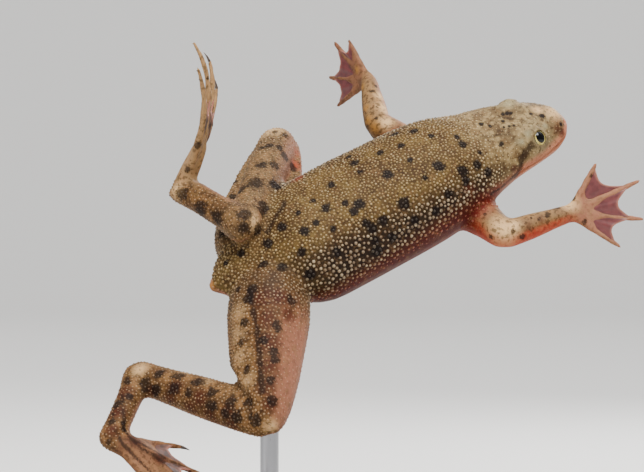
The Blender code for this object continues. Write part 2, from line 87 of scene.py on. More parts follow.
VIEWPOINT = LOOKED_AT - Vector((0.0, VIEW_DISTANCE, 0.0))
camera_data = bpy.data.cameras.new("camera")
camera_data.sensor_width = SENSOR
camera_data.lens = SENSOR * PIXELS_PER_SLOPE / PICTURE[0]
camera_data.clip_start = NEAREST * MM
camera = placed("camera", camera_data)
camera.location = VIEWPOINT * MM
camera.rotation_euler = (math.pi / 2, 0.0, 0.0)
bpy.context.scene.camera = camera


# The stand's base is a disc of black acrylic, turned on a lathe, with an eased rim and a fine
# satin polish. It is heavy enough to carry the frog, and lies flat on the floor.
class Wire:
    """One output of a shader node. Arithmetic on it adds Math nodes."""

    def __init__(self, tree, output):
        self.tree = tree
        self.output = output

    def node(self, kind, settings, sockets, output=0):
        """Adds a node, its settings first, then the values or links of its sockets."""
        node = self.tree.nodes.new("ShaderNode" + kind)
        for name, value in settings.items():
            setattr(node, name, value)
        for name, value in sockets.items():
            if isinstance(value, Wire):
                self.tree.links.new(value.output, node.inputs[name])
            else:
                node.inputs[name].default_value = value
        return Wire(self.tree, node.outputs[output])

    def math(self, operation, first, second):
        return self.node("Math", {"operation": operation}, {0: first, 1: second})

    def __add__(self, other):
        return self.math("ADD", self, other)

    def __sub__(self, other):
        return self.math("SUBTRACT", self, other)

    def __rsub__(self, other):
        return self.math("SUBTRACT", other, self)

    def __mul__(self, other):
        return self.math("MULTIPLY", self, other)

    __radd__ = __add__
    __rmul__ = __mul__

    def step(self, low, high):
        """Rises smoothly from 0 to 1 as the value passes from low to high."""
        settings = {"interpolation_type": "SMOOTHSTEP"}
        return self.node("MapRange", settings, {"Value": self, "From Min": low, "From Max": high})

    def clamped(self):
        """The value held between 0 and 1."""
        return self.node("Clamp", {}, {0: self})

    def blend(self, first, second):
        """The first colour where this is 0 and the second where it is 1."""
        first, second = (tone if isinstance(tone, Wire) else colour(*tone) for tone in (first, second))
        return self.node("Mix", {"data_type": "RGBA"}, {0: self, 6: first, 7: second}, 2)

    def noise(self, size):
        """Soft noise whose lumps are about this many millimetres across."""
        return self.node("TexNoise", {}, {"Vector": self, "Scale": 1 / (size * MM), "Detail": 3.0})

    def attribute(self, name):
        return self.node("Attribute", {"attribute_name": name}, {}, "Fac")


def finish(name, **values):
    """A material, its shader with these values, and its Object coordinates."""
    material = bpy.data.materials.new(name)
    material.use_nodes = True
    tree = material.node_tree
    shader = tree.nodes["Principled BSDF"]
    for key, value in values.items():
        shader.inputs[key.replace("_", " ")].default_value = value
    place = tree.nodes.new("ShaderNodeTexCoord")
    return material, shader, Wire(tree, place.outputs["Object"])


def feed(shader, **wires):
    """Links wires into the shader's sockets."""
    for key, wire in wires.items():
        wire.tree.links.new(wire.output, shader.inputs[key.replace("_", " ")])


def colour(red, green, blue):
    """A linear colour from what the eye reads off a picture, 0 to 255."""
    return (*((channel / 255) ** 2.2 for channel in (red, green, blue)), 1.0)


def mesh_of(bm):
    """The mesh of a bmesh that is done with."""
    mesh = bpy.data.meshes.new("form")
    bm.to_mesh(mesh)
    bm.free()
    return mesh


def piece(name, mesh, material, slot, replaced=(), into=Matrix.Scale(MM, 4)):
    """Finishes a mesh in millimetres as a smooth piece that rides on the model."""
    mesh.name = name
    mesh.transform(into)
    mesh.shade_smooth()
    mesh.materials.append(material)
    thing = placed(name, mesh)
    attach(thing, "root")
    if replaced:
        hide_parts(*replaced)


def turned(profile, steps, centre=(0.0, 0.0)):
    """A surface of revolution from (radius, height) points, bottom to top."""
    bm = bmesh.new()
    verts = [bm.verts.new((radius, 0.0, height)) for radius, height in profile]
    for pair in zip(verts, verts[1:]):
        bm.edges.new(pair)
    line = bm.verts[:] + bm.edges[:]
    axis = {"cent": (0, 0, 0), "axis": (0, 0, 1)}
    bmesh.ops.spin(bm, geom=line, angle=math.tau, steps=steps, use_merge=True, **axis)
    bmesh.ops.remove_doubles(bm, verts=bm.verts, dist=0.001)
    bmesh.ops.recalc_face_normals(bm, faces=bm.faces)
    bmesh.ops.translate(bm, vec=(*centre, 0.0), verts=bm.verts)
    return bm


def lathed(name, profile, steps, centre, *finishing):
    """A turned piece of the stand, with its corners kept crisp."""
    mesh = mesh_of(turned(profile, steps, centre))
    piece(name, mesh, *finishing)
    mesh.set_sharp_from_angle(angle=CREASE)


CREASE = math.radians(35)
BASE_RADIUS = 22.0
BASE_THICKNESS = 3.0
RIM = 0.6
UNDERCUT = (0.2, 0.15)

acrylic, shader, place = finish("black_acrylic", Base_Color=colour(34, 34, 36), Coat_Weight=0.4)
feed(shader, Roughness=0.3 + place.noise(4.0) * 0.18)
base_line = [(0.0, 0.0), (BASE_RADIUS - RIM, 0.0)]
base_line += [(BASE_RADIUS - UNDERCUT[0], UNDERCUT[1]), (BASE_RADIUS, RIM)]
for a in np.linspace(0, math.pi / 2, 7):
    base_line.append((BASE_RADIUS - RIM + RIM * math.cos(a), BASE_THICKNESS - RIM + RIM * math.sin(a)))
base_line.append((0.0, BASE_THICKNESS))
lathed("stand_disc", base_line, 144, (0.0, 0.0), acrylic, "stand_base", ["stand_base"])


# One steel rod stands in a small collar on the base and holds the frog under its pelvis.
# It is drawn wire, polished along its length, and its end is hidden in the skin.
ROD_PLACE = (-5.5, -0.5)
ROD_RADIUS = 0.8
ROD_SEAT = 0.2
ROD_SINK = 0.25
COLLAR_RADIUS = 1.7
COLLAR_HEIGHT = 1.1
COLLAR_SEAT = 0.1
COLLAR_CURVE = ((0.0, 0.6), (0.15, 0.85), (0.5, 1.0))

steel, shader, place = finish("polished_steel", Base_Color=colour(150, 150, 153), Metallic=1.0)
drawn = place.node("Mapping", {"vector_type": "POINT"}, {"Vector": place, "Scale": (1.0, 1.0, 0.06)})
feed(shader, Roughness=0.22 + drawn.noise(0.12) * 0.2)
foot = BASE_THICKNESS - ROD_SEAT
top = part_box("stand_rod")[1][2] / MM + ROD_SINK
rod_line = [(0.0, foot), (ROD_RADIUS, foot), (ROD_RADIUS, top), (0.0, top)]
lathed("stand_wire", rod_line, 40, ROD_PLACE, steel, "stand_rod", ["stand_rod"])
collar_line = [(radius, BASE_THICKNESS - COLLAR_SEAT) for radius in (0.0, COLLAR_RADIUS)]
for inset, share in COLLAR_CURVE:
    collar_line.append((COLLAR_RADIUS - inset, BASE_THICKNESS + COLLAR_HEIGHT * share))
collar_line.append((0.0, BASE_THICKNESS + COLLAR_HEIGHT))
lathed("stand_collar", collar_line, 48, ROD_PLACE, steel, "stand_rod")


# The frog's skin is one closed surface over body, limbs, hands and feet, with no seam at any
# joint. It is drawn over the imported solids, with finer digits fanned from each wrist and heel.
VENT_PLACE = Vector((-9.9, -5.0, 30.3))
BODY_TURN = Euler([math.radians(angle) for angle in (44.1, -23.9, 17.6)])
POSE = Matrix.LocRotScale(VENT_PLACE, BODY_TURN, None)
TO_MODEL = Matrix.Scale(MM, 4) @ POSE
TO_BODY = TO_MODEL.inverted()

# Where the limbs start, and each segment's length, azimuth and elevation in degrees
HIPS = {"r": Vector((3.4, -3.2, -0.5)), "l": Vector((4.8, 2.5, -0.5))}
SHOULDERS = {"r": Vector((23.0, -3.4, -1.2)), "l": Vector((23.0, 3.4, -1.2))}
BONES = {
    "thigh_r": (11.5, -122.0, -8.5),
    "shank_r": (12.6, 120.3, -9.5),
    "tarsus_r": (7.2, -133.7, 6.0),
    "thigh_l": (11.5, 50.6, 1.3),
    "shank_l": (14.0, -129.8, 18.5),
    "tarsus_l": (7.4, 107.5, -4.8),
    "upper_arm_r": (4.6, -83.7, 7.5),
    "forearm_r": (6.3, -4.5, -4.5),
    "upper_arm_l": (6.0, 111.5, 8.0),
    "forearm_l": (6.0, 68.0, -4.0),
}
# A hand's or foot's forward and upward directions and its curl, and the digits' length, spread
# and webbed share
HAND_POSE = {"r": ((-22.4, 2.0), (-114.7, 48.7), 8.0), "l": ((100.2, -18.2), (171.0, 26.5), 12.0)}
FOOT_POSE = {"r": ((-54.4, -23.6), (-20.5, 62.3), 18.0), "l": ((16.8, 47.7), (-39.7, -4.8), 59.2)}
FINGERS = [(4.8, 53.0, 0.95), (6.6, 16.0, 0.86), (6.3, -13.5, 0.86), (5.2, -42.5, 0.92)]
INNER_SPREAD = {"r": 53.0, "l": 34.0}
TOES = [(6.4, 33.0, 0.86), (9.2, 14.0, 0.8), (11.6, 1.0, 0.76), (13.8, -11.0, 0.68), (12.6, -23.0, 0.8)]
CURL_GROWTH = 2.2

FLESH = ["head", "torso"] + list(BONES)
PUFF = 0.17
VOXEL = 0.217


def direction(azimuth, elevation):
    """The unit vector at an azimuth from x towards y and an elevation towards z, in degrees."""
    turn, rise = math.radians(azimuth), math.radians(elevation)
    return Vector((math.cos(rise) * math.cos(turn), math.cos(rise) * math.sin(turn), math.sin(rise)))


def frame_of(forward, upward):
    """A turn whose x is forward and whose z lies as near upward as it can."""
    x = forward.normalized()
    z = (upward - x * upward.dot(x)).normalized()
    return Matrix((x, z.cross(x), z)).transposed()


def soft_form(rings, sides, rule):
    """A closed form from a sphere whose every point is moved to rule(share along it, angle)."""
    bm = bmesh.new()
    bmesh.ops.create_uvsphere(bm, u_segments=sides, v_segments=rings, radius=1.0)
    for vert in bm.verts:
        share = math.acos(max(-1.0, min(1.0, vert.co.z))) / math.pi
        vert.co = rule(share, math.atan2(vert.co.y, vert.co.x))
    bmesh.ops.recalc_face_normals(bm, faces=bm.faces)
    if bm.calc_volume(signed=True) < 0:
        bmesh.ops.reverse_faces(bm, faces=bm.faces)
    return bm


def limb_form(start, end, girth, rings, sides, flatness=1.0):
    """A round-ended form between two points; girth gives (share of the length, radius)."""
    bone = end - start
    turn = frame_of(bone, Vector((0, 0, 1)))
    shares = [knot[0] for knot in girth]
    radii = [knot[1] for knot in girth]
    ends = (radii[0], bone.length + radii[-1])

    def rule(share, angle):
        x = -ends[0] + (ends[0] + ends[1]) * (1 - math.cos(math.pi * share)) / 2
        inside = min(max(x, 0.0), bone.length)
        radius = float(np.interp(inside / bone.length, shares, radii))
        radius = math.sqrt(max(radius**2 - (x - inside) ** 2, 0.0))
        return start + turn @ Vector((x, radius * math.cos(angle), radius * flatness * math.sin(angle)))

    return soft_form(rings, sides, rule)


def on_digit(spread, distance, side):
    """A point on a digit's line, in the flat frame of its hand or foot."""
    angle = -math.radians(spread) * side
    return Vector((distance * math.cos(angle), distance * math.sin(angle), 0.0))


def curled(point, curl, length):
    """Bends a flat hand's or foot's point towards the sole, more and more towards the tips."""
    full = math.radians(curl)
    x = max(point.x, 0.0)
    reach = x / length
    turn = full * reach**CURL_GROWTH
    steps = 12
    along = Vector((0, 0, 0))
    for i in range(steps):
        part = full * (reach * (i + 0.5) / steps) ** CURL_GROWTH
        along += Vector((math.cos(part), 0, -math.sin(part))) * x / steps
    lift = Vector((math.sin(turn), 0, math.cos(turn))) * point.z
    return along + lift + Vector((min(point.x, 0.0), point.y, 0))


class Paw:
    """A hand or foot: where it stands on its limb, how it is turned and how far it curls."""

    def __init__(self, kind, letter, place, pose, digits):
        forward, upward, self.curl = pose
        self.kind = kind
        self.letter = letter
        self.name = kind + "_" + letter
        self.place = place
        self.turn = frame_of(direction(*forward), direction(*upward))
        self.digits = digits
        self.side = 1 if letter == "l" else -1
        self.length = max(digit[0] for digit in digits)

    def posed(self, point):
        """A point of the flat hand or foot, curled and set on its limb."""
        return self.place + self.turn @ curled(point, self.curl, self.length)

    def pose_form(self, bm):
        for vert in bm.verts:
            vert.co = self.posed(vert.co)
        return bm


JOINTS = {}
PAWS = []
for letter in "rl":
    digits = [(FINGERS[0][0], INNER_SPREAD[letter], FINGERS[0][2])] + FINGERS[1:]
    foot = ("foot", HIPS[letter], ("thigh", "shank", "tarsus"), FOOT_POSE[letter], TOES)
    hand = ("hand", SHOULDERS[letter], ("upper_arm", "forearm"), HAND_POSE[letter], digits)
    for kind, joint, names, pose, digits in (foot, hand):
        for name in names:
            length, azimuth, elevation = BONES[name + "_" + letter]
            end = joint + direction(azimuth, elevation) * length
            JOINTS[name + "_" + letter] = (joint, end)
            joint = end
        PAWS.append(Paw(kind, letter, joint, pose, digits))

PALM = {"hand": ((1.1, 0.0), (0.8, 0.85, 0.55), 0.66), "foot": ((3.6, -0.5), (1.15, 1.15, 0.9), 0.72)}
DIGIT_ROOT = {"hand": 0.5, "foot": 0.55}
DIGIT_TIP = 0.27
DIGIT_FLATNESS = 0.9
TIP_SPARE = 0.18
KNUCKLES = (0.42, 0.66, 0.85)
KNUCKLE_WIDTH = 0.045


def paw_forms(paw):
    """The palm and the digits, each thinned between its joints and rounded at its tip."""
    (reach, across), radii, flatness = PALM[paw.kind]
    girth = list(zip((0.0, 0.5, 1.0), radii))
    start = Vector((0, 0, 0))
    yield limb_form(start, Vector((reach, across * paw.side, 0)), girth, 14, 16, flatness)
    girth = []
    for share in np.linspace(0, 1, 41):
        swelling = max(math.exp(-(((share - knuckle) / KNUCKLE_WIDTH) ** 2)) for knuckle in KNUCKLES)
        radius = DIGIT_ROOT[paw.kind] + (DIGIT_TIP - DIGIT_ROOT[paw.kind]) * share
        girth.append((share, radius * (0.9 + 0.16 * swelling)))
    for length, spread, webbing in paw.digits:
        end = on_digit(spread, length - DIGIT_TIP + TIP_SPARE, paw.side)
        yield limb_form(start, end, girth, 60, 10, DIGIT_FLATNESS)


def flesh_of(node):
    """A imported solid's mesh, merged, in the body's frame."""
    bm = bmesh.new()
    bm.from_mesh(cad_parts[node].data)
    bmesh.ops.remove_doubles(bm, verts=bm.verts, dist=1e-7)
    bmesh.ops.transform(bm, matrix=TO_BODY, verts=bm.verts)
    return bm


def gathered(forms, puff):
    """One mesh of all the forms, each puffed out so that they overlap."""
    whole = bmesh.new()
    scrap = bpy.data.meshes.new("scrap")
    for form in forms:
        form.normal_update()
        for vert, step in [(vert, vert.normal * puff) for vert in form.verts]:
            vert.co += step
        form.to_mesh(scrap)
        form.free()
        whole.from_mesh(scrap)
    return mesh_of(whole)


def remeshed(mesh, voxel):
    """The mesh as one even skin round all its forms."""
    thing = placed("remesh", mesh)
    skin = thing.modifiers.new("Skin", "REMESH")
    skin.mode = "VOXEL"
    skin.voxel_size = voxel
    bpy.context.view_layer.update()
    evaluated = thing.evaluated_get(bpy.context.evaluated_depsgraph_get())
    result = bpy.data.meshes.new_from_object(evaluated)
    bpy.data.objects.remove(thing)
    return result


def numbers(items, field, width, kind=float):
    """A field of a mesh's points or edges, as rows of numbers."""
    values = np.empty(len(items) * width, dtype=kind)
    items.foreach_get(field, values)
    return values.reshape(-1, width)


def points_of(mesh):
    return numbers(mesh.vertices, "co", 3)


def normals_of(mesh):
    return numbers(mesh.vertex_normals, "vector", 3)


def move_points(mesh, points):
    mesh.vertices.foreach_set("co", points.ravel())
    mesh.update()


def relaxed(mesh, share, steps):
    """Draws each point towards the middle of its neighbours, by a share that may vary."""
    points = points_of(mesh)
    first, second = numbers(mesh.edges, "vertices", 2, int).T
    count = len(points)
    neighbours = np.bincount(np.append(first, second), minlength=count)[:, None]
    for _ in range(steps):
        middle = np.empty_like(points)
        for axis in range(3):
            line = points[:, axis]
            middle[:, axis] = np.bincount(first, line[second], count)
            middle[:, axis] += np.bincount(second, line[first], count)
        points = points + share * (middle / neighbours - points)
    move_points(mesh, points)


def apart(points, place):
    """Each point's distance from a place."""
    return np.linalg.norm(points - np.array(place), axis=-1)


def nearness(points, place, radius):
    """1 at the place, falling smoothly to nothing about two radii away."""
    return np.exp(-((apart(points, place) / radius) ** 2))


def unit(vectors):
    """The vectors, each made one long."""
    return vectors / np.maximum(np.linalg.norm(vectors, axis=-1, keepdims=True), 1e-6)


def from_line(points, line):
    """Each point's distance from a line of points, and how far along it the nearest place is."""
    best = np.full(len(points), 1e9)
    share = np.zeros(len(points))
    for i, (start, end) in enumerate(zip(line, line[1:])):
        start, end = np.array(start), np.array(end)
        way = end - start
        t = np.clip((points - start) @ way / (way @ way), 0, 1)
        distance = apart(points - t[:, None] * way, start)
        nearer = distance < best
        best[nearer] = distance[nearer]
        share[nearer] = (i + t[nearer]) / (len(line) - 1)
    return best, share


forms = [flesh_of(node) for node in FLESH]
for paw in PAWS:
    forms.extend(paw.pose_form(form) for form in paw_forms(paw))
skin_mesh = remeshed(gathered(forms, PUFF), VOXEL)
relaxed(skin_mesh, 0.5, 6)
move_points(skin_mesh, points_of(skin_mesh) - normals_of(skin_mesh) * PUFF)

# The face is drawn finer than the rest: soft lids that close over each eyeball from all sides,
# the groove of the mouth under a full upper lip, and two small nostrils near the snout's tip.
# The ridges and grooves of a shape are each a height, a place across it and a width.
FACE_START = 27.4
FACE_MIDDLE = (0.3, 0.4)
FACE_REACH = 4.7
EYEBALL = 1.0
EYE_GAZE = (0.22, 0.63, 0.745)
EYE_OPENING = math.radians(41.0)
EYE_NARROWING = math.radians(6.0)
EYE_FINE = 1.5
BROW = (-0.3, 0.65, 0.69)
HOOD = math.radians(10.0)
HOOD_LIFT = 0.17
LID_LIFT = 0.07
LID_SHAPE = ((0.05, 0.12, 0.12), (-0.05, 0.5, 0.1))
LID_REACH = 2.6
LID_EASING = math.radians(58.0)
LID_END = math.radians(95.0)
LID_SECTORS = 24
SECTOR_COSINE = 0.97
RIM_SNAP = 0.1
SOCKET_ROOM = 0.03
SOCKET_SWELL = 0.34
SOCKET_REACH = 1.5
MOUTH_CORNER = 27.6
MOUTH_HEIGHTS = ((27.6, 0.45), (30.0, 0.42), (33.0, 0.48), (35.0, 0.2))
MOUTH_SHAPE = ((-0.13, 0.0, 0.1), (0.09, 0.28, 0.2), (0.05, -0.25, 0.2))
MOUTH_FINE = 0.32
NOSTRILS = ((33.95, 1.0, 1.05), (33.95, -0.75, 1.05))
NOSTRIL_SIZE = 0.17
NOSTRIL_DEPTH = 0.3
NOSTRIL_RIM = 0.07
NOSTRIL_FINE = 0.6
SNOUT_START, SNOUT_FULL, SNOUT_END = 31.6, 34.0, 35.2
SNOUT_BLUNTING = 0.1
SNOUT_WIDENING = 0.09
SNOUT_CROWN = 0.14
SNOUT_TOP = (0.3, 1.6)


def eye_of(letter, sign):
    """The eyeball's centre and the way it looks, in the body's frame."""
    low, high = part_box("eye_" + letter)
    centre = TO_BODY @ ((Vector(low) + Vector(high)) / 2)
    return centre, Vector((EYE_GAZE[0], EYE_GAZE[1] * sign, EYE_GAZE[2])).normalized()


EYES = {"r": eye_of("r", -1), "l": eye_of("l", 1)}


def refined(mesh, chosen):
    """Halves the edges whose ends are both chosen."""
    bm = bmesh.new()
    bm.from_mesh(mesh)
    edges = [edge for edge in bm.edges if chosen[edge.verts[0].index] and chosen[edge.verts[1].index]]
    bmesh.ops.subdivide_edges(bm, edges=edges, cuts=1, use_grid_fill=True)
    bmesh.ops.triangulate(bm, faces=[face for face in bm.faces if len(face.verts) > 4])
    bm.to_mesh(mesh)
    bm.free()


def on_face(points):
    from_middle = np.hypot(points[:, 1] - FACE_MIDDLE[0], points[:, 2] - FACE_MIDDLE[1])
    return (points[:, 0] > FACE_START) & (from_middle < FACE_REACH)


def mouth_height(points):
    """How far each point lies over the mouth's groove."""
    return points[:, 2] - np.interp(points[:, 0], *zip(*MOUTH_HEIGHTS))


def fine_face(points):
    """The points that need the finest mesh: round the eyes, the nostrils and the mouth."""
    chosen = (np.abs(mouth_height(points)) < MOUTH_FINE) & (points[:, 0] > MOUTH_CORNER - 0.5)
    for centre, gaze in EYES.values():
        chosen |= apart(points, centre) < EYE_FINE
    for nostril in NOSTRILS:
        chosen |= apart(points, nostril) < NOSTRIL_FINE
    return chosen & on_face(points)


def ramp(values, low, high):
    """Rises smoothly from 0 to 1 as the values pass from low to high."""
    t = np.clip((values - low) / (high - low), 0, 1)
    return t * t * (3 - 2 * t)


def ridges(values, shape):
    """Soft ridges, and grooves where the height is negative, across the values."""
    return sum(height * np.exp(-(((values - middle) / width) ** 2)) for height, middle, width in shape)


def set_lids(points, normals):
    """Draws the skin round each eye over the eyeball as lids, and lines the socket close to it."""
    for centre, gaze in EYES.values():
        centre, gaze = np.array(centre), np.array(gaze)
        points += gaze * (SOCKET_SWELL * nearness(points, centre + gaze * 0.5, SOCKET_REACH))[:, None]
        distance = apart(points, centre)
        way = (points - centre) / distance[:, None]
        angle = np.arccos(np.clip(way @ gaze, -1, 1))
        near = (distance < LID_REACH) & (angle < LID_END)
        sideways = unit(way - gaze * (way @ gaze)[:, None])
        ahead = np.cross(gaze, (0.0, 0.0, 1.0))
        around = np.arctan2(sideways @ np.cross(gaze, ahead), sideways @ ahead)
        sectors = np.linspace(-math.pi, math.pi, LID_SECTORS + 1)
        rim = [angle[near & (np.cos(around - sector) > SECTOR_COSINE)].min() for sector in sectors]
        rim = np.interp(around, sectors, rim)
        brow = np.array((BROW[0], -BROW[1] * np.sign(gaze[1]), BROW[2]))
        inner = np.maximum(sideways @ unit(brow - gaze * (brow @ gaze)), 0) ** 2
        opening = EYE_OPENING - EYE_NARROWING * sideways[:, 0] ** 2 - HOOD * inner
        closed = opening + (angle - rim) * (LID_END - opening) / (LID_END - rim)
        closed = np.where(closed < opening + RIM_SNAP, opening, closed)
        way = gaze * np.cos(closed)[:, None] + sideways * np.sin(closed)[:, None]
        lid = EYEBALL + LID_LIFT + HOOD_LIFT * inner + ridges(closed - opening, LID_SHAPE)
        lining = (normals * way).sum(axis=1) < 0
        target = np.where(lining, EYEBALL + SOCKET_ROOM, lid)
        share = np.where(lining, 1.0, 1 - ramp(angle, LID_EASING, LID_END))
        moved = centre + way * (distance + (target - distance) * share)[:, None]
        points[near] = moved[near]
    return points


for choose in (on_face, fine_face):
    points = points_of(skin_mesh)
    refined(skin_mesh, choose(points))
    relaxed(skin_mesh, 0.5 * on_face(points_of(skin_mesh))[:, None], 5)
points = set_lids(points_of(skin_mesh), normals_of(skin_mesh))
face = on_face(points)
ahead = face * ramp(points[:, 0], SNOUT_START, SNOUT_END)
points[:, 0] -= SNOUT_BLUNTING * ahead * (SNOUT_END - SNOUT_START)
full = face * ramp(points[:, 0], SNOUT_START, SNOUT_FULL)
points[:, 1] += SNOUT_WIDENING * full * points[:, 1]
points[:, 2] += SNOUT_CROWN * full * ramp(points[:, 2], *SNOUT_TOP)
move_points(skin_mesh, points)
inside = on_face(points) * ramp(points[:, 0], MOUTH_CORNER, MOUTH_CORNER + 0.5)
shift = ridges(mouth_height(points), MOUTH_SHAPE) * inside
NOSTRIL_SEATS = [points[np.argmin(apart(points, nostril))] for nostril in NOSTRILS]
for nostril in NOSTRIL_SEATS:
    shift += NOSTRIL_RIM * nearness(points, nostril, NOSTRIL_SIZE * 2.2)
    shift -= NOSTRIL_DEPTH * nearness(points, nostril, NOSTRIL_SIZE)
move_points(skin_mesh, points + normals_of(skin_mesh) * shift[:, None])


# The markings are mostly pigment in the skin: an olive back with brown spots, a dark mottled flank, a pink
# belly, throat and inner limbs, pale knees and elbows, and dark streaks behind the eyes. Some are painted
# light and shade: dark red painted shade along the belly's lower edge, painted shade in two creases of the
# left leg, in the nostrils and on the right side of the snout, and painted highlights on the arms' upper
# sides, the right elbow and the top of the head.
# Spots where the photograph shows them, from the head over the back to the legs and arms: the
# picture's x and y, and the spot's radius, in pixels
SPOTS = [
    (501, 144, 4), (507, 113, 3.2), (503, 114, 2.8), (511, 113, 2.6), (531, 114, 2.6), (542, 116, 4.2),
    (503, 121, 2.4), (509, 126, 2.2), (514, 125, 2), (504, 127, 2), (490, 126, 2.6), (481, 124, 3.8),
    (480, 153, 3.2), (488, 172, 5.5), (477, 165, 6), (550, 146, 1.4), (561, 124, 2.6),
    (463, 144, 5.7), (439, 166, 7.8), (463, 171, 7.5), (466, 181, 5.9), (414, 131, 5.5), (395, 134, 5),
    (380, 153, 5), (388, 174, 6.3), (401, 146, 4.6), (354, 163, 5.7), (349, 157, 4.2), (331, 185, 5.5),
    (359, 204, 7), (354, 212, 5.5), (326, 208, 6.3), (313, 201, 4.2), (305, 231, 6.3), (333, 229, 4.6),
    (282, 227, 6.3), (316, 223, 4.2), (383, 221, 6.7), (372, 228, 6.7), (404, 203, 7.8), (415, 220, 5.9),
    (436, 211, 5.7), (449, 194, 5.7), (377, 251, 7), (375, 241, 5.5), (392, 237, 5.7), (337, 252, 5.5),
    (310, 274, 7), (282, 268, 6.7), (263, 265, 6.3), (302, 252, 5.5), (268, 244, 6.5), (366, 223, 5.2),
    (457, 137, 4.2), (431, 136, 4.2), (226, 263, 4.2), (241, 253, 5.5), (252, 290, 7.3), (238, 290, 4.4),
    (291, 300, 6.7), (345, 203, 4.2), (360, 172, 3.9), (425, 178, 3.9), (410, 160, 3.6), (298, 213, 3.9),
    (248, 299, 6.2), (244, 322, 5.8), (241, 342, 5.5), (277, 326, 6.4), (274, 352, 6.2), (275, 359, 5.5),
    (263, 340, 6), (246, 370, 5.1), (272, 401, 6.2), (271, 380, 5.3), (248, 402, 6.7), (231, 401, 7.4),
    (212, 406, 6.9), (212, 391, 6.7), (198, 381, 8), (179, 376, 8.6), (160, 373, 6.2), (173, 388, 8),
    (146, 385, 7.4), (156, 391, 7.4), (188, 393, 6.4), (255, 420, 7.8), (237, 417, 7.8), (225, 414, 6.2),
    (127, 381, 6.2), (117, 405, 6.9), (111, 422, 5.3), (108, 441, 4.1), (124, 427, 5.8), (130, 396, 5.3),
    (274, 132, 5.1), (285, 136, 5.1), (261, 165, 7), (275, 165, 7.6), (285, 156, 6.7), (292, 167, 6.3),
    (256, 182, 10.1), (262, 207, 10.5), (275, 186, 8.3), (241, 190, 7.3), (245, 214, 8.9), (258, 228, 8.5),
    (245, 228, 7.6), (233, 197, 6), (201, 209, 9.5), (217, 219, 9.9), (182, 193, 8.9), (212, 229, 8.5),
    (222, 233, 5.7), (198, 146, 5.1), (187, 169, 4.4), (208, 78, 1.8), (211, 96, 2.2), (212, 108, 3.4),
    (210, 124, 4.1), (262, 148, 5.1), (270, 145, 5.1), (279, 147, 5.1),
    (485, 214, 2.6), (491, 237, 3.4), (523, 237, 4.2), (548, 214, 4.4), (539, 219, 2.8), (531, 218, 2.2),
    (558, 208, 2.8), (574, 198, 3.4), (585, 221, 3.6), (581, 181, 2.2), (591, 176, 2.2), (513, 232, 2.4),
    (376, 86, 2.8), (372, 91, 3.2), (368, 68, 3.2), (377, 107, 2.4), (376, 118, 2.4), (359, 55, 2.2),
]
# Dark streaks, as lines through the picture: their points, half width in pixels and strength
STREAKS = [
    ([(530, 147), (522, 158), (516, 176)], 6.0, 1.0),
    ([(250, 290), (257, 330), (259, 356), (262, 392)], 4.5, 1.0),
    # Painted shade in the crease between the left shank and the body
    ([(296, 178), (284, 205), (268, 232)], 4.0, 1.0),
    ([(500, 117), (516, 119), (528, 122)], 3.4, 0.42),
    ([(497, 131), (512, 128), (524, 125)], 3.4, 0.42),
    ([(478, 138), (498, 135), (512, 133)], 3.2, 0.42),
    ([(518, 172), (513, 177), (502, 187), (491, 194)], 2.6, 1.0),
    ([(122, 396), (124, 428), (138, 446), (174, 470)], 3.6, 1.0),
    ([(113, 414), (120, 441), (136, 458), (150, 471)], 2.6, 1.0),
    ([(134, 440), (160, 452), (190, 471)], 2.4, 1.0),
    # Painted shadow along the edge of the left ankle where it lies over the pelvis
    ([(214, 233), (232, 245), (248, 246)], 3.0, 1.0),
]
# Tinted places: the picture's x and y, and the radius, in pixels
TINTED = {
    # The first two pale places light the top of the right elbow: a painted highlight. Those at 553, 538 and
    # 558 on top of the head are partly the snout's own cream and partly a painted highlight from above.
    "pale": [
        (504, 230, 22), (513, 226, 12), (272, 130, 20), (271, 427, 11), (553, 112, 16), (538, 110, 10),
        (176, 190, 13), (140, 369, 12), (256, 222, 13), (384, 108, 12), (386, 122, 11), (380, 96, 9),
        (570, 204, 13), (558, 108, 9),
    ],
    "gold": [(374, 128, 11), (211, 286, 7), (362, 88, 7), (357, 70, 6), (366, 108, 6), (368, 120, 8)],
    "buff": [
        (238, 312, 17), (237, 334, 17), (239, 356, 16), (245, 380, 14), (162, 366, 9), (186, 373, 9),
        (208, 381, 9),
    ],
    "bluish": [(508, 103, 12), (528, 134, 7), (522, 142, 6), (545, 126, 5)],
    "rose": [
        (486, 200, 13), (497, 190, 11), (508, 181, 9), (478, 208, 9), (520, 172, 6), (295, 165, 10),
        (298, 180, 8),
    ],
    "thigh edge": [(296, 152, 9), (296, 165, 11), (298, 178, 10)],
    # The first three umber places darken the right side of the snout's tip: painted shade of that side.
    "umber": [
        (559, 121, 12), (557, 129, 11), (562, 132, 8), (528, 224, 10), (541, 219, 9), (208, 150, 12),
        (514, 168, 7), (470, 190, 12), (262, 298, 20), (280, 298, 17), (288, 314, 13), (266, 318, 20),
        (268, 342, 20), (268, 366, 17), (266, 388, 14), (270, 405, 12), (175, 388, 14), (200, 398, 14),
        (228, 412, 14), (124, 392, 16), (152, 391, 10), (170, 399, 12), (190, 407, 13), (210, 416, 13),
        (232, 425, 12), (116, 412, 16), (112, 430, 12), (136, 440, 13), (160, 458, 13),
    ],
}
PIXELS_PER_MM = PIXELS_PER_SLOPE / VIEW_DISTANCE

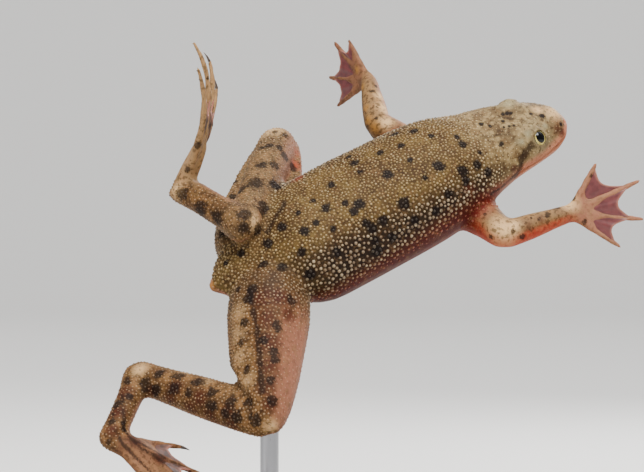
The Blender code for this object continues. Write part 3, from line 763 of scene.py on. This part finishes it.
# How wide and high the trunk is, where its pink underside starts, as the angle from the middle of
# the back at places along it, and which way the pink side of each limb faces, in the studio
TRUNK_MIDDLE = (0.2, 0.3)
TRUNK = (
    (0, 1.6, 1.5), (4, 3.6, 2.8), (8, 5.6, 4.6), (20, 5.6, 4.7), (26, 4.3, 3.4), (31, 3.2, 2.3), (35, 1, 1)
)
GIRTHS = {"upper_arm": 0.8, "forearm": 0.8, "tarsus": 1.2, "shank": 1.6, "thigh": 2.8}
UNDERSIDE = ((4, 108), (10, 93), (15, 86), (19, 80), (23, 77), (27, 80), (35, 80))
LIP_LINE = 1.0
SPOT_CLEARANCE = 22
HIDDEN_TRIES = 2000
HIDDEN_SPOTS = (0.25, 0.34, 0.42, 0.5)
# The side of the arms that is painted lighter, as lit from above, in the studio's frame
PAINTED_LIGHT_SIDE = (-0.2, -0.5, 0.8)
PINK_PAWS = {"hand_r": 0.85, "hand_l": 0.5, "foot_r": 0.3, "foot_l": 0.12}
PINK_SIDES = {
    "thigh_r": (1.0, -0.15, 0.1),
    "shank_r": (0.25, 0.6, -1.0),
    "tarsus_r": (0.9, 0.7, -0.3),
    "thigh_l": (1.0, 0.1, 0.2),
    "shank_l": (0.9, 0.8, 0.3),
    "tarsus_l": (0.3, 0.6, 0.6),
    "upper_arm_r": (-0.4, 0.0, -1.0),
    "forearm_r": (0.0, -0.1, -1.0),
    "upper_arm_l": (0.6, 0.3, 0.5),
    "forearm_l": (0.9, 0.3, 0.2),
}

skin_places = [POSE @ vert.co for vert in skin_mesh.vertices]
skin_tree = BVHTree.FromPolygons(skin_places, [tuple(face.vertices) for face in skin_mesh.polygons])


def seen_at(x, y):
    """The place on the skin that the picture shows at a pixel, in the body's frame, or None."""
    slope = Vector((x - PICTURE[0] / 2, PIXELS_PER_SLOPE, PICTURE[1] / 2 - y))
    hit = skin_tree.ray_cast(VIEWPOINT, slope.normalized())[0]
    return None if hit is None else np.array(POSE.inverted() @ hit)


def blots(points, places):
    """How deep each point lies in the nearest blot: 1 at its middle, 0 at its edge, -1 far out."""
    best = np.full(len(points), -1.0)
    for x, y, radius in places:
        middle = seen_at(x, y)
        if middle is not None:
            best = np.maximum(best, 1 - apart(points, middle) * PIXELS_PER_MM / radius)
    return best


def limb_shares(points):
    """How much each point belongs to the trunk and to each limb segment."""
    along = np.clip(points[:, 0], 0, 35)
    xs, wides, highs = zip(*TRUNK)
    wide, high = np.interp(along, xs, wides), np.interp(along, xs, highs)
    ring = np.hypot((points[:, 1] - TRUNK_MIDDLE[0]) / wide, (points[:, 2] - TRUNK_MIDDLE[1]) / high)
    gaps = {"trunk": (ring - 1) * np.minimum(wide, high) + np.maximum(-points[:, 0], 0)}
    for name, bone in JOINTS.items():
        gaps[name] = from_line(points, bone)[0] - GIRTHS[name[:-2]]
    for paw in PAWS:
        line = (paw.place, paw.posed(Vector((paw.length / 2, 0, 0))), paw.posed(Vector((paw.length, 0, 0))))
        past_wrist = (points - np.array(paw.place)) @ np.array(paw.turn.col[0])
        gaps[paw.name] = from_line(points, line)[0] - 0.6 - 2.0 * ramp(past_wrist, 0.0, 2.5)
    strengths = {name: np.exp(-np.maximum(gap, -1.0) / 0.35) for name, gap in gaps.items()}
    total = sum(strengths.values())
    return {name: strength / total for name, strength in strengths.items()}


points, normals = points_of(skin_mesh), normals_of(skin_mesh)
studio_normals = normals @ np.array(POSE.to_3x3().normalized()).T
shares = limb_shares(points)
trunk_share = shares["trunk"]
from_middle = points[:, 1:] - TRUNK_MIDDLE
low_side = np.degrees(np.arctan2(np.abs(from_middle[:, 0]), from_middle[:, 1]))
past_edge = low_side - np.interp(points[:, 0], *zip(*UNDERSIDE))
pink = trunk_share * ramp(past_edge, -5, 12)
dark = trunk_share * ramp(low_side, 40, 64) * (1 - ramp(past_edge, -10, 6))
dark *= ramp(points[:, 0], 3, 9) * (1 - ramp(points[:, 0], 24, 28))
for name in ("thigh_r", "thigh_l"):
    dark += shares[name] * 0.7 * (1 - ramp(from_line(points, JOINTS[name])[1], 0.0, 0.42))
edge = trunk_share * (1 - ramp(points[:, 0], 23, 27)) * ramp(points[:, 0], 2, 7)
# Dark rose along the lower edge of the belly: partly the skin's own dusky rose and partly painted shade of
# that edge
rose = edge * ramp(past_edge, -6, 8) * (1 - ramp(past_edge, 30, 70))
# Painted shade: a dark red band along the lower edge of the belly, the shade under the body with the red of
# light reflected into it
painted_belly_shade = edge * ramp(past_edge, -14, 0) * (1 - ramp(past_edge, 15, 45))
under = ramp(-normals[:, 2], 0.25, 0.7)
for name, side in PINK_SIDES.items():
    towards = studio_normals @ unit(np.array(side))
    facing = ramp(towards, 0.45 if name == "thigh_l" else 0.15, 0.95)
    if "thigh" in name:
        facing *= ramp(from_line(points, JOINTS[name])[1], 0.05, 0.45)
    pink += shares[name] * np.maximum(facing * 0.9, under)
    if "arm_r" in name:
        rose += shares[name] * ramp(towards, -0.05, 0.45)
for paw in PAWS:
    pink += shares[paw.name] * PINK_PAWS[paw.name]
arm = sum(shares[name] for name in JOINTS if "arm" in name)
jaw = trunk_share * ramp(points[:, 0], 26.6, 28.6) * (1 - ramp(points[:, 2] - LIP_LINE, -0.3, 0.4))
pink = np.clip(np.maximum(pink, jaw), 0, 1)
streak = np.full(len(points), -1.0)
for line, width, strength in STREAKS:
    places = [place for place in (seen_at(x, y) for x, y in line) if place is not None]
    if len(places) > 1:
        depth = 1 - from_line(points, places)[0] * PIXELS_PER_MM / width
        streak = np.maximum(streak, depth * strength)

round_eyes = sum(nearness(points, centre, 1.35) for centre, gaze in EYES.values())

# Spots that the picture doesn't show are spread at random over the upper sides
rng = random.Random(7)
hidden_spots = []
shown = blots(points, [(x, y, SPOT_CLEARANCE) for x, y, radius in SPOTS]) > 0
paw_share = sum(shares[paw.name] for paw in PAWS)
able = (pink < 0.45) & ~shown & (paw_share < 0.5)
able &= (studio_normals[:, 1] > 0.05) & (round_eyes < 0.2)
for index in rng.sample(list(np.flatnonzero(able)), HIDDEN_TRIES):
    place = points[index]
    if all(apart(place, other) > 0.95 + size * 2 for other, size in hidden_spots):
        hidden_spots.append((place, rng.choice(HIDDEN_SPOTS)))
spot = blots(points, SPOTS)
# Painted shade in the nostrils: their middles are painted dark, as the shade inside the openings
for nostril in NOSTRIL_SEATS:
    spot = np.maximum(spot, 1.4 * nearness(points, nostril, NOSTRIL_SIZE * 0.5) - 0.5)
for place, size in hidden_spots:
    spot = np.maximum(spot, 1 - apart(points, place) / size)

tints = {name: np.maximum(blots(points, places), 0) for name, places in TINTED.items()}
# The arms are painted lighter on the sides that face up and towards the camera: a painted highlight from the
# light above, over the arms' own slight pallor and the paler skin of the right hand and the left foot
painted_top_light = ramp(studio_normals @ unit(np.array(PAINTED_LIGHT_SIDE)), 0.2, 0.95)
pallor_and_painted_light = arm * (0.04 + 0.16 * painted_top_light) + shares["hand_r"] * 0.1 + shares["foot_l"] * 0.4
left_leg = shares["thigh_l"] + shares["shank_l"]
MARKS = {
    "pink": pink,
    "rose": np.clip(rose + tints["rose"] * 0.45 + tints["thigh edge"] * 0.7, 0, 1),
    "jaw": jaw,
    "dark": dark,
    "spot": spot,
    "streak": streak,
    "pale": np.clip(tints["pale"] + pallor_and_painted_light + tints["buff"] * 0.42, 0, 1),
    "gold": tints["gold"],
    "bluish": np.clip(np.maximum(tints["bluish"], round_eyes * 0.55 + left_leg * 0.12), 0, 1),
    "umber": tints["umber"],
    "painted_belly_shade": painted_belly_shade,
    "face": trunk_share * ramp(points[:, 0], 22.5, 27.0),
    "leg": 1 - trunk_share,
}


def mark(mesh, marks):
    """Carries the markings to a mesh, one number for each point."""
    for name, values in marks.items():
        layer = mesh.attributes.new(name, "FLOAT", "POINT")
        layer.data.foreach_set("value", values.astype(np.float32))


def skin_finish(name, on_tubercles):
    """The skin's pigment, painted light and shade, and grain, alike for the skin and for its tubercles."""
    gloss, roughness = (0.24, 0.36) if on_tubercles else (0.1, 0.5)
    scatter = {"Subsurface_Weight": 0.06, "Subsurface_Radius": (1.0, 0.35, 0.2), "Subsurface_Scale": 0.3 * MM}
    material, shader, place = finish(name, Specular_IOR_Level=gloss, **scatter)
    get = place.attribute
    leg, face, dark, pink, rose = (get(key) for key in ("leg", "face", "dark", "pink", "rose"))
    cloud, blotch, mottle, grain = (place.noise(size) for size in (3.4, 1.5, 0.6, 0.16))
    ragged = (mottle - 0.5) * 0.9 + (grain - 0.5) * 0.9
    spotted = (get("spot") + ragged * (1 + leg * 0.5)).step(-0.15, 0.45) * (1 - leg * 0.14)
    streaked = (get("streak") + ragged * 1.2).step(-0.05, 0.75)
    freckled = (place.noise(0.34) + grain * 0.3 + leg * 0.02 + 0.015).step(0.7, 0.82) * (1 - pink * 0.7)
    tone = cloud.step(0.38, 0.62).blend((90, 71, 40), (66, 49, 25))
    layers = [
        (leg, (108, 78, 48)),
        (face * 0.85, (138, 116, 80)),
        (mottle.step(0.4, 0.62) * (0.7 - face * 0.1), (58, 42, 22)),
        (face * place.noise(0.9).step(0.5, 0.62) * 0.45, (84, 64, 42)),
        ((0.45 + leg * 0.1) * blotch.step(0.47, 0.6), (50, 33, 21)),
        (dark * (0.72 + cloud * 0.4), (32, 23, 17)),
        (pink * (0.95 - mottle.step(0.45, 0.7) * 0.3 - grain.step(0.5, 0.65) * 0.15), (136, 88, 70)),
        # the trunk's dark rose lower edge is partly painted shade
        (rose, leg.blend((104, 31, 18), (138, 50, 30))),
        (get("jaw") * 0.78, (160, 96, 70)),
        ((get("umber") + ragged * 0.4).step(0, 0.8) * 0.84, (56, 22, 13)),
        # painted shade along the belly's lower edge, dark red
        (get("painted_belly_shade") * 0.85, (52, 13, 8)),
        (((get("pale") + ragged * 0.4) * 0.8).clamped(), (206, 166, 116)),
        (((get("gold") + ragged * 0.3) * 0.85).clamped(), (150, 104, 48)),
        (get("bluish") * 0.8, (136, 128, 98)),
    ]
    if on_tubercles:
        tint = get("tint")
        top = leg.blend((132, 107, 64), (146, 114, 80))
        tops = [
            (dark, (128, 106, 82)),
            (face, (166, 142, 100)),
            (tint * (0.3 + dark * 0.25 - leg * 0.15), (194, 174, 138)),
            (pink * 0.8, (164, 112, 88)),
            (rose * 0.8, (134, 60, 42)),
        ]
        for share, pigment in tops:
            top = share.blend(top, pigment)
        pallid = 0.42 + tint * 0.3 + mottle * 0.25 - leg * 0.05
        layers.append((get("top").step(-0.1, 0.7) * pallid, top))
        spotted, streaked, freckled = spotted * 0.97, streaked * 0.9, freckled * 0.5
    layers.append((freckled * 0.65, (46, 29, 15)))
    layers.append((streaked * 0.8, (30, 18, 11)))
    layers.append((spotted * 0.95, (20, 11, 7)))
    for share, pigment in layers:
        tone = share.blend(tone, pigment)
    relief = grain * 0.6 + mottle * 0.5 + place.noise(0.07) * 0.3
    bump = place.node("Bump", {}, {"Height": relief, "Strength": 0.5, "Distance": 0.06 * MM}, "Normal")
    feed(shader, Base_Color=tone, Normal=bump, Roughness=roughness + grain * 0.25)
    return material


mark(skin_mesh, MARKS)
fleshy = FLESH + [paw.name for paw in PAWS]
piece("skin", skin_mesh.copy(), skin_finish("frog_skin", False), "skin", fleshy, TO_MODEL)


# Tubercles are the hard pale warts that cover the back, flanks and legs, larger and wider apart on
# the flanks, fine on the head, and missing on the belly, the arms, the hands and the feet.
TUBERCLE_PROFILE = ((1.0, -0.3), (0.88, 0.28), (0.52, 0.68), (0.0, 0.84))
TUBERCLE_FLATNESS = 0.8
TUBERCLE_SIDES = 7
TUBERCLE_TRIES = 230000
CELL = 0.3
# A tubercle's radius and its room, and what they gain towards the flank and the face
BACK_TUBERCLE, FLANK_GAIN = (0.108, 0.23), (0.04, 0.11)
NECK_TUBERCLE, FACE_GAIN = (0.1, 0.26), (-0.05, 0.1)
LIMB_TUBERCLE = (0.094, 0.265)
FLANK_ANGLE, FLANK_WIDTH = 78.0, 50.0
NECK_START, NECK_LENGTH = 25.0, 3.0


def tubercle_size(on_trunk, angle, along, softness):
    """The radius that a tubercle has at a place, and the room it keeps round it."""
    if on_trunk < 0.5:
        plain, gain, share = LIMB_TUBERCLE, (0.0, 0.0), 0.0
    elif along > NECK_START:
        plain, gain, share = NECK_TUBERCLE, FACE_GAIN, min((along - NECK_START) / NECK_LENGTH, 1.0)
    else:
        off_flank = min(abs(angle - FLANK_ANGLE) / FLANK_WIDTH, 1)
        plain, gain, share = BACK_TUBERCLE, FLANK_GAIN, 0.5 + 0.5 * math.cos(math.pi * off_flank)
    size, room = (value + more * share for value, more in zip(plain, gain))
    return size * (1 - softness * 0.35), room + softness * 0.12


def scattered(mesh, rng):
    """Roots of tubercles at random places that keep their room: three corners, weights and size."""
    mesh.calc_loop_triangles()
    corners = np.array([tri.vertices for tri in mesh.loop_triangles])
    a, b, c = (points[corners[:, i]] for i in range(3))
    areas = np.linalg.norm(np.cross(b - a, c - a), axis=1)
    picks = np.searchsorted(np.cumsum(areas) / areas.sum(), rng.random(TUBERCLE_TRIES))
    picks = np.clip(picks, 0, len(corners) - 1)
    first, second = rng.random((2, TUBERCLE_TRIES))
    folded = first + second > 1
    first[folded], second[folded] = 1 - first[folded], 1 - second[folded]
    weights = np.stack((1 - first - second, first, second), axis=1)
    spots = sum(points[corners[picks, i]] * weights[:, i:i + 1] for i in range(3))
    barred = (paw_share > 0.35) | (arm > 0.35) | bare_face
    shin = sum(shares[name] for name in JOINTS if "shank" in name or "tarsus" in name)
    luck = rng.random((2, TUBERCLE_TRIES))
    cells, roots = {}, []
    for i, pick in enumerate(picks):
        corner = corners[pick][0]
        softness = float(pink[corner])
        if barred[corner] or softness > 0.8 + luck[0, i] * 0.19:
            continue
        x, y, z = spots[i].tolist()
        size, room = tubercle_size(trunk_share[corner], low_side[corner], x, softness)
        size *= 1 - 0.2 * shin[corner]
        cx, cy, cz = int(x // CELL), int(y // CELL), int(z // CELL)
        reach = 1 if room <= CELL else 2
        steps = range(-reach, reach + 1)
        crowded = any(
            (x - u) ** 2 + (y - v) ** 2 + (z - w) ** 2 < room**2
            for dx in steps for dy in steps for dz in steps
            for u, v, w in cells.get((cx + dx, cy + dy, cz + dz), ())
        )
        if not crowded:
            cells.setdefault((cx, cy, cz), []).append((x, y, z))
            roots.append((corners[pick], weights[i], size * (0.78 + 0.5 * luck[1, i])))
    return (np.array(column) for column in zip(*roots))


bare_face = (np.abs(mouth_height(points)) < 0.15) & on_face(points)
for centre, gaze in EYES.values():
    bare_face |= apart(points, centre) < EYEBALL + 0.25
root_corners, root_weights, sizes = scattered(skin_mesh, np.random.default_rng(11))


def at_roots(values):
    """Values of the skin's points, read at the tubercles' roots."""
    mixed = sum(values[root_corners[:, i]].T * root_weights[:, i] for i in range(3))
    return mixed.T


one = turned(TUBERCLE_PROFILE, TUBERCLE_SIDES)
bmesh.ops.holes_fill(one, edges=one.edges, sides=TUBERCLE_SIDES)
bmesh.ops.triangulate(one, faces=one.faces)
bmesh.ops.recalc_face_normals(one, faces=one.faces)
one.verts.index_update()
wart = np.array([vert.co for vert in one.verts])
wart_faces = np.array([[vert.index for vert in face.verts] for face in one.faces])
one.free()

root_points = at_roots(points)
up = unit(at_roots(normals))
across = unit(np.cross(up, (0.36, 0.48, 0.8)))
third = np.cross(up, across)
places = root_points[:, None]
for axis, way in enumerate((across, third, TUBERCLE_FLATNESS * up)):
    places = places + (wart[None, :, axis] * sizes[:, None])[:, :, None] * way[:, None]

# Each tubercle has a small patch of the OFBake map for its colours, at its root's place on the unrolled skin
PATCH = 0.003
around = np.arctan2(from_middle[:, 0], from_middle[:, 1]) / math.tau + 0.5
sheets = {"trunk": np.stack((np.clip(points[:, 0] / 36, 0, 1) * 0.98 + 0.01, around * 0.48 + 0.01), axis=1)}
for i, (name, (start, end)) in enumerate(JOINTS.items()):
    bone = np.array(end - start)
    ahead = unit(bone)
    side = np.cross(ahead, (0.0, 0.0, 1.0))
    offset = points - np.array(start)
    turn = np.arctan2(offset @ side, offset @ np.cross(side, ahead)) / math.tau + 0.5
    share = np.clip(offset @ ahead / np.linalg.norm(bone), -0.3, 1.3)
    sheets[name] = np.stack((0.01 + i * 0.098 + turn * 0.088, 0.54 + (share + 0.3) * 0.27), axis=1)
nearest = np.argmax([shares[name] for name in sheets], axis=0)[root_corners[:, 0]]
unrolled = np.array([sheet[root_corners[:, 0]] for sheet in sheets.values()])
unrolled = unrolled[nearest, np.arange(len(nearest))]
patches = (wart[:, :2] * PATCH / 2)[None] + unrolled[:, None]

wart_material = skin_finish("frog_tubercle", True)
luck = np.random.default_rng(5).random(len(sizes)) ** 2
left = root_points[:, 1] > TRUNK_MIDDLE[0]
parts = (("", nearest == 0), ("_limbs", nearest > 0))
sides = (("right", ~left), ("left", left))
for (part, on_part), (side, on_side) in itertools.product(parts, sides):
    name = "tubercles_" + side + part
    members = on_part & on_side
    count = int(members.sum())
    faces = (wart_faces[None] + (np.arange(count) * len(wart))[:, None, None]).reshape(-1, 3)
    mesh = bpy.data.meshes.new(name)
    mesh.from_pydata(places[members].reshape(-1, 3).tolist(), [], faces.tolist())
    carried = {key: np.repeat(at_roots(values)[members], len(wart)) for key, values in MARKS.items()}
    carried["top"] = np.tile(np.clip(wart[:, 2], 0, 1), count)
    carried["tint"] = np.repeat(luck[members], len(wart))
    mark(mesh, carried)
    baked = mesh.uv_layers.new(name="OFBake")
    corners = patches[members].reshape(-1, 2)[faces.ravel()]
    baked.data.foreach_set("uv", corners.astype(np.float32).ravel())
    piece(name, mesh, wart_material, "skin", (), TO_MODEL)


# The webs are thin double sheets of skin between the digits, dusky pink, with a hollow free edge
# and fine folds that fan out from the palm. They grow from the sides of the digits.
WEB_THICKNESS = 0.14
WEB_HOLLOW = 0.22
WEB_START = 0.12
WEB_BILLOW = 0.16
WEB_FOLD = 0.035
WEB_FOLDS = 5


def web_finish(name, pale, deep):
    """Thin skin in two tones, lighter along its free edge, that lets a little light through."""
    scatter = {"Subsurface_Weight": 0.1, "Subsurface_Radius": (1.0, 0.3, 0.25), "Subsurface_Scale": 0.3 * MM}
    material, shader, place = finish(name, Roughness=0.45, **scatter)
    vein = place.noise(0.5).step(0.45, 0.62)
    tone = place.attribute("edge").step(0.88, 1.0).blend(vein.blend(pale, deep), (138, 88, 72))
    bump = {"Height": place.noise(0.2), "Strength": 0.3, "Distance": 0.04 * MM}
    ripple = place.node("Bump", {}, bump, "Normal")
    feed(shader, Base_Color=tone, Normal=ripple, Alpha=0.93 + vein * 0.06)
    return material


WEBS = {
    "hand": web_finish("hand_web", (93, 42, 41), (78, 31, 31)),
    "foot": web_finish("foot_web", (84, 54, 44), (58, 36, 28)),
}


def web_between(bm, paw, first, second):
    """One membrane between two neighbouring digits, as a bent grid."""
    grid = bmesh.ops.create_grid(bm, x_segments=22, y_segments=10, size=0.5)["verts"]
    edge = bm.verts.layers.float["edge"]
    ends = [on_digit(spread, length * webbing, paw.side) for length, spread, webbing in (first, second)]
    for vert in grid:
        out = WEB_START + (vert.co.x + 0.5) * (1 - WEB_START)
        t = vert.co.y + 0.5
        hollow = 1 - WEB_HOLLOW * 4 * t * (1 - t) * out**2
        flat = (ends[0] * (1 - t) + ends[1] * t) * out * hollow
        lift = WEB_BILLOW * math.sin(math.pi * t) * out
        flat.z = lift + WEB_FOLD * math.sin(WEB_FOLDS * math.pi * t) * out
        vert.co = paw.posed(flat)
        vert[edge] = out


for paw in PAWS:
    sheet = bmesh.new()
    sheet.verts.layers.float.new("edge")
    for first, second in zip(paw.digits, paw.digits[1:]):
        web_between(sheet, paw, first, second)
    bmesh.ops.recalc_face_normals(sheet, faces=sheet.faces)
    bmesh.ops.solidify(sheet, geom=sheet.faces[:], thickness=WEB_THICKNESS)
    piece("web_" + paw.name, mesh_of(sheet), WEBS[paw.kind], "webbed_skin", (), TO_MODEL)


# Each eye is a wet ball under the lids: a black upright pupil, a thin ring of pale gold that widens
# below, and a grey-green speckled iris, under a clear cornea that stands a little proud.
PUPIL = math.radians(31.0)
RING = math.radians(37.0)
RING_DROP = math.radians(5.0)
RING_BACK = math.radians(1.6)
PUPIL_NARROWNESS = 0.78
CORNEA = 0.05

wetness = {"Roughness": 0.12, "IOR": 1.25, "Coat_Weight": 0.25, "Coat_Roughness": 0.05}
eye_material, shader, place = finish("eye_ball", **wetness)
fleck = place.noise(0.12)
iris = fleck.step(0.4, 0.6).blend((84, 84, 56), (40, 40, 24))
gold = fleck.step(0.3, 0.7).blend((216, 196, 110), (150, 128, 62))
ringed = place.attribute("ring_angle").step(RING + 0.03, RING - 0.03).blend(iris, gold)
pupil = (place.attribute("pupil_angle") + (fleck - 0.5) * 0.05).step(PUPIL + 0.02, PUPIL - 0.02)
feed(shader, Base_Color=pupil.blend(ringed, (3, 3, 3)))
for letter, (centre, gaze) in EYES.items():
    ball = bmesh.new()
    bmesh.ops.create_uvsphere(ball, u_segments=64, v_segments=48, radius=EYEBALL)
    pupil_angle = ball.verts.layers.float.new("pupil_angle")
    ring_angle = ball.verts.layers.float.new("ring_angle")
    ahead = (Vector((1.0, 0.0, 0.0)) - gaze * gaze.x).normalized()
    turn = Matrix((ahead, gaze.cross(ahead), gaze)).transposed()
    upward = 1.0 if letter == "l" else -1.0
    for vert in ball.verts:
        angle = math.acos(max(-1.0, min(1.0, vert.co.z / EYEBALL)))
        flat = Vector((vert.co.x, vert.co.y * upward)).normalized() * angle
        vert[pupil_angle] = math.hypot(flat.x / PUPIL_NARROWNESS, flat.y)
        vert[ring_angle] = math.hypot((flat.x + RING_BACK) / PUPIL_NARROWNESS, flat.y - RING_DROP)
        cornea = 1 + CORNEA * max(0.0, 1 - (angle / EYE_OPENING) ** 2)
        vert.co = centre + turn @ (vert.co * cornea)
    piece("eyeball_" + letter, mesh_of(ball), eye_material, "eye", ["eye_" + letter], TO_MODEL)


# The three inner toes of each foot end in small dark claws of horn, set over the toe's tip.
CLAW_LENGTH = 1.1
CLAW_RADIUS = 0.19
CLAW_BEND = 0.28
CLAW_SINK = 0.4
CLAW_FLATNESS = 0.85

horn, shader, place = finish("claw_horn", Roughness=0.3, Coat_Weight=0.3)
feed(shader, Base_Color=place.noise(0.2).blend((40, 30, 22), (66, 48, 34)))
for paw in PAWS:
    if paw.kind != "foot":
        continue
    for i, (length, spread, webbing) in enumerate(TOES[:3]):
        start = on_digit(spread, length - CLAW_SINK, paw.side)
        fan = frame_of(on_digit(spread, 1.0, paw.side), Vector((0, 0, 1)))

        def claw_rule(share, angle):
            radius = CLAW_RADIUS * (min(share * 5, 1) ** 0.5) * (1 - share) ** 0.65
            out = share * CLAW_LENGTH
            rise = CLAW_FLATNESS * radius * math.sin(angle) - CLAW_BEND * share**2
            return paw.posed(start + fan @ Vector((out, radius * math.cos(angle), rise)))

        number = "%s_%d" % (paw.letter, i + 1)
        claw = mesh_of(soft_form(16, 14, claw_rule))
        piece("claw_tip_" + number, claw, horn, "claw", ["claw_" + number], TO_MODEL)


# The frog stands on its rod in an empty studio: a pale seamless sweep for floor and wall, and soft light
# from above and in front, with a weak fill and a rim light behind.
FLOOR_WIDTH = 5000.0
FLOOR_FRONT = -2500.0
SWEEP_START = 900.0
SWEEP_RADIUS = 700.0
WALL_TOP = 2600.0

paper, shader, place = finish("pale_paper", Base_Color=colour(226, 224, 220), Roughness=0.9)
sweep_line = [(FLOOR_FRONT, 0.0), (SWEEP_START, 0.0)]
for a in np.linspace(0, math.pi / 2, 25)[1:]:
    sweep_line.append((SWEEP_START + SWEEP_RADIUS * math.sin(a), SWEEP_RADIUS * (1 - math.cos(a))))
sweep_line.append((SWEEP_START + SWEEP_RADIUS, WALL_TOP))
sweep = bmesh.new()
row = [sweep.verts.new((-FLOOR_WIDTH / 2, y, z)) for y, z in sweep_line]
lines = [sweep.edges.new(pair) for pair in zip(row, row[1:])]
extruded = bmesh.ops.extrude_edge_only(sweep, edges=lines)["geom"]
new_verts = [part for part in extruded if isinstance(part, bmesh.types.BMVert)]
bmesh.ops.translate(sweep, vec=(FLOOR_WIDTH, 0, 0), verts=new_verts)
bmesh.ops.recalc_face_normals(sweep, faces=sweep.faces)
bmesh.ops.scale(sweep, vec=(MM, MM, MM), verts=sweep.verts)
sweep_mesh = mesh_of(sweep)
sweep_mesh.shade_smooth()
sweep_mesh.materials.append(paper)
placed("sweep", sweep_mesh)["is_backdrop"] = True

BACKDROP_AIM = Vector((0.0, 1700.0, 250.0))
LIGHTS = {
    "key": ((50.0, -150.0, 280.0), 150.0, 1.9, LOOKED_AT),
    "fill": ((-220.0, -180.0, 90.0), 240.0, 0.35, LOOKED_AT),
    "rim": ((120.0, 200.0, 160.0), 120.0, 0.6, LOOKED_AT),
    "backdrop": ((0.0, 300.0, 1100.0), 1400.0, 18.0, BACKDROP_AIM),
}
for name, (spot, size, power, aim) in LIGHTS.items():
    light = bpy.data.lights.new(name, "AREA")
    light.size = size * MM
    light.energy = power
    lamp = placed(name, light)
    lamp.location = Vector(spot) * MM
    lamp.rotation_euler = (aim - Vector(spot)).to_track_quat("-Z", "Y").to_euler()
world = bpy.data.worlds.new("studio")
world.use_nodes = True
background = world.node_tree.nodes["Background"]
background.inputs["Color"].default_value = colour(235, 238, 245)
background.inputs["Strength"].default_value = 0.5
bpy.context.scene.world = world

boxes = [[[float(value) for value in corner] for corner in box] for box in (cad_box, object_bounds())]
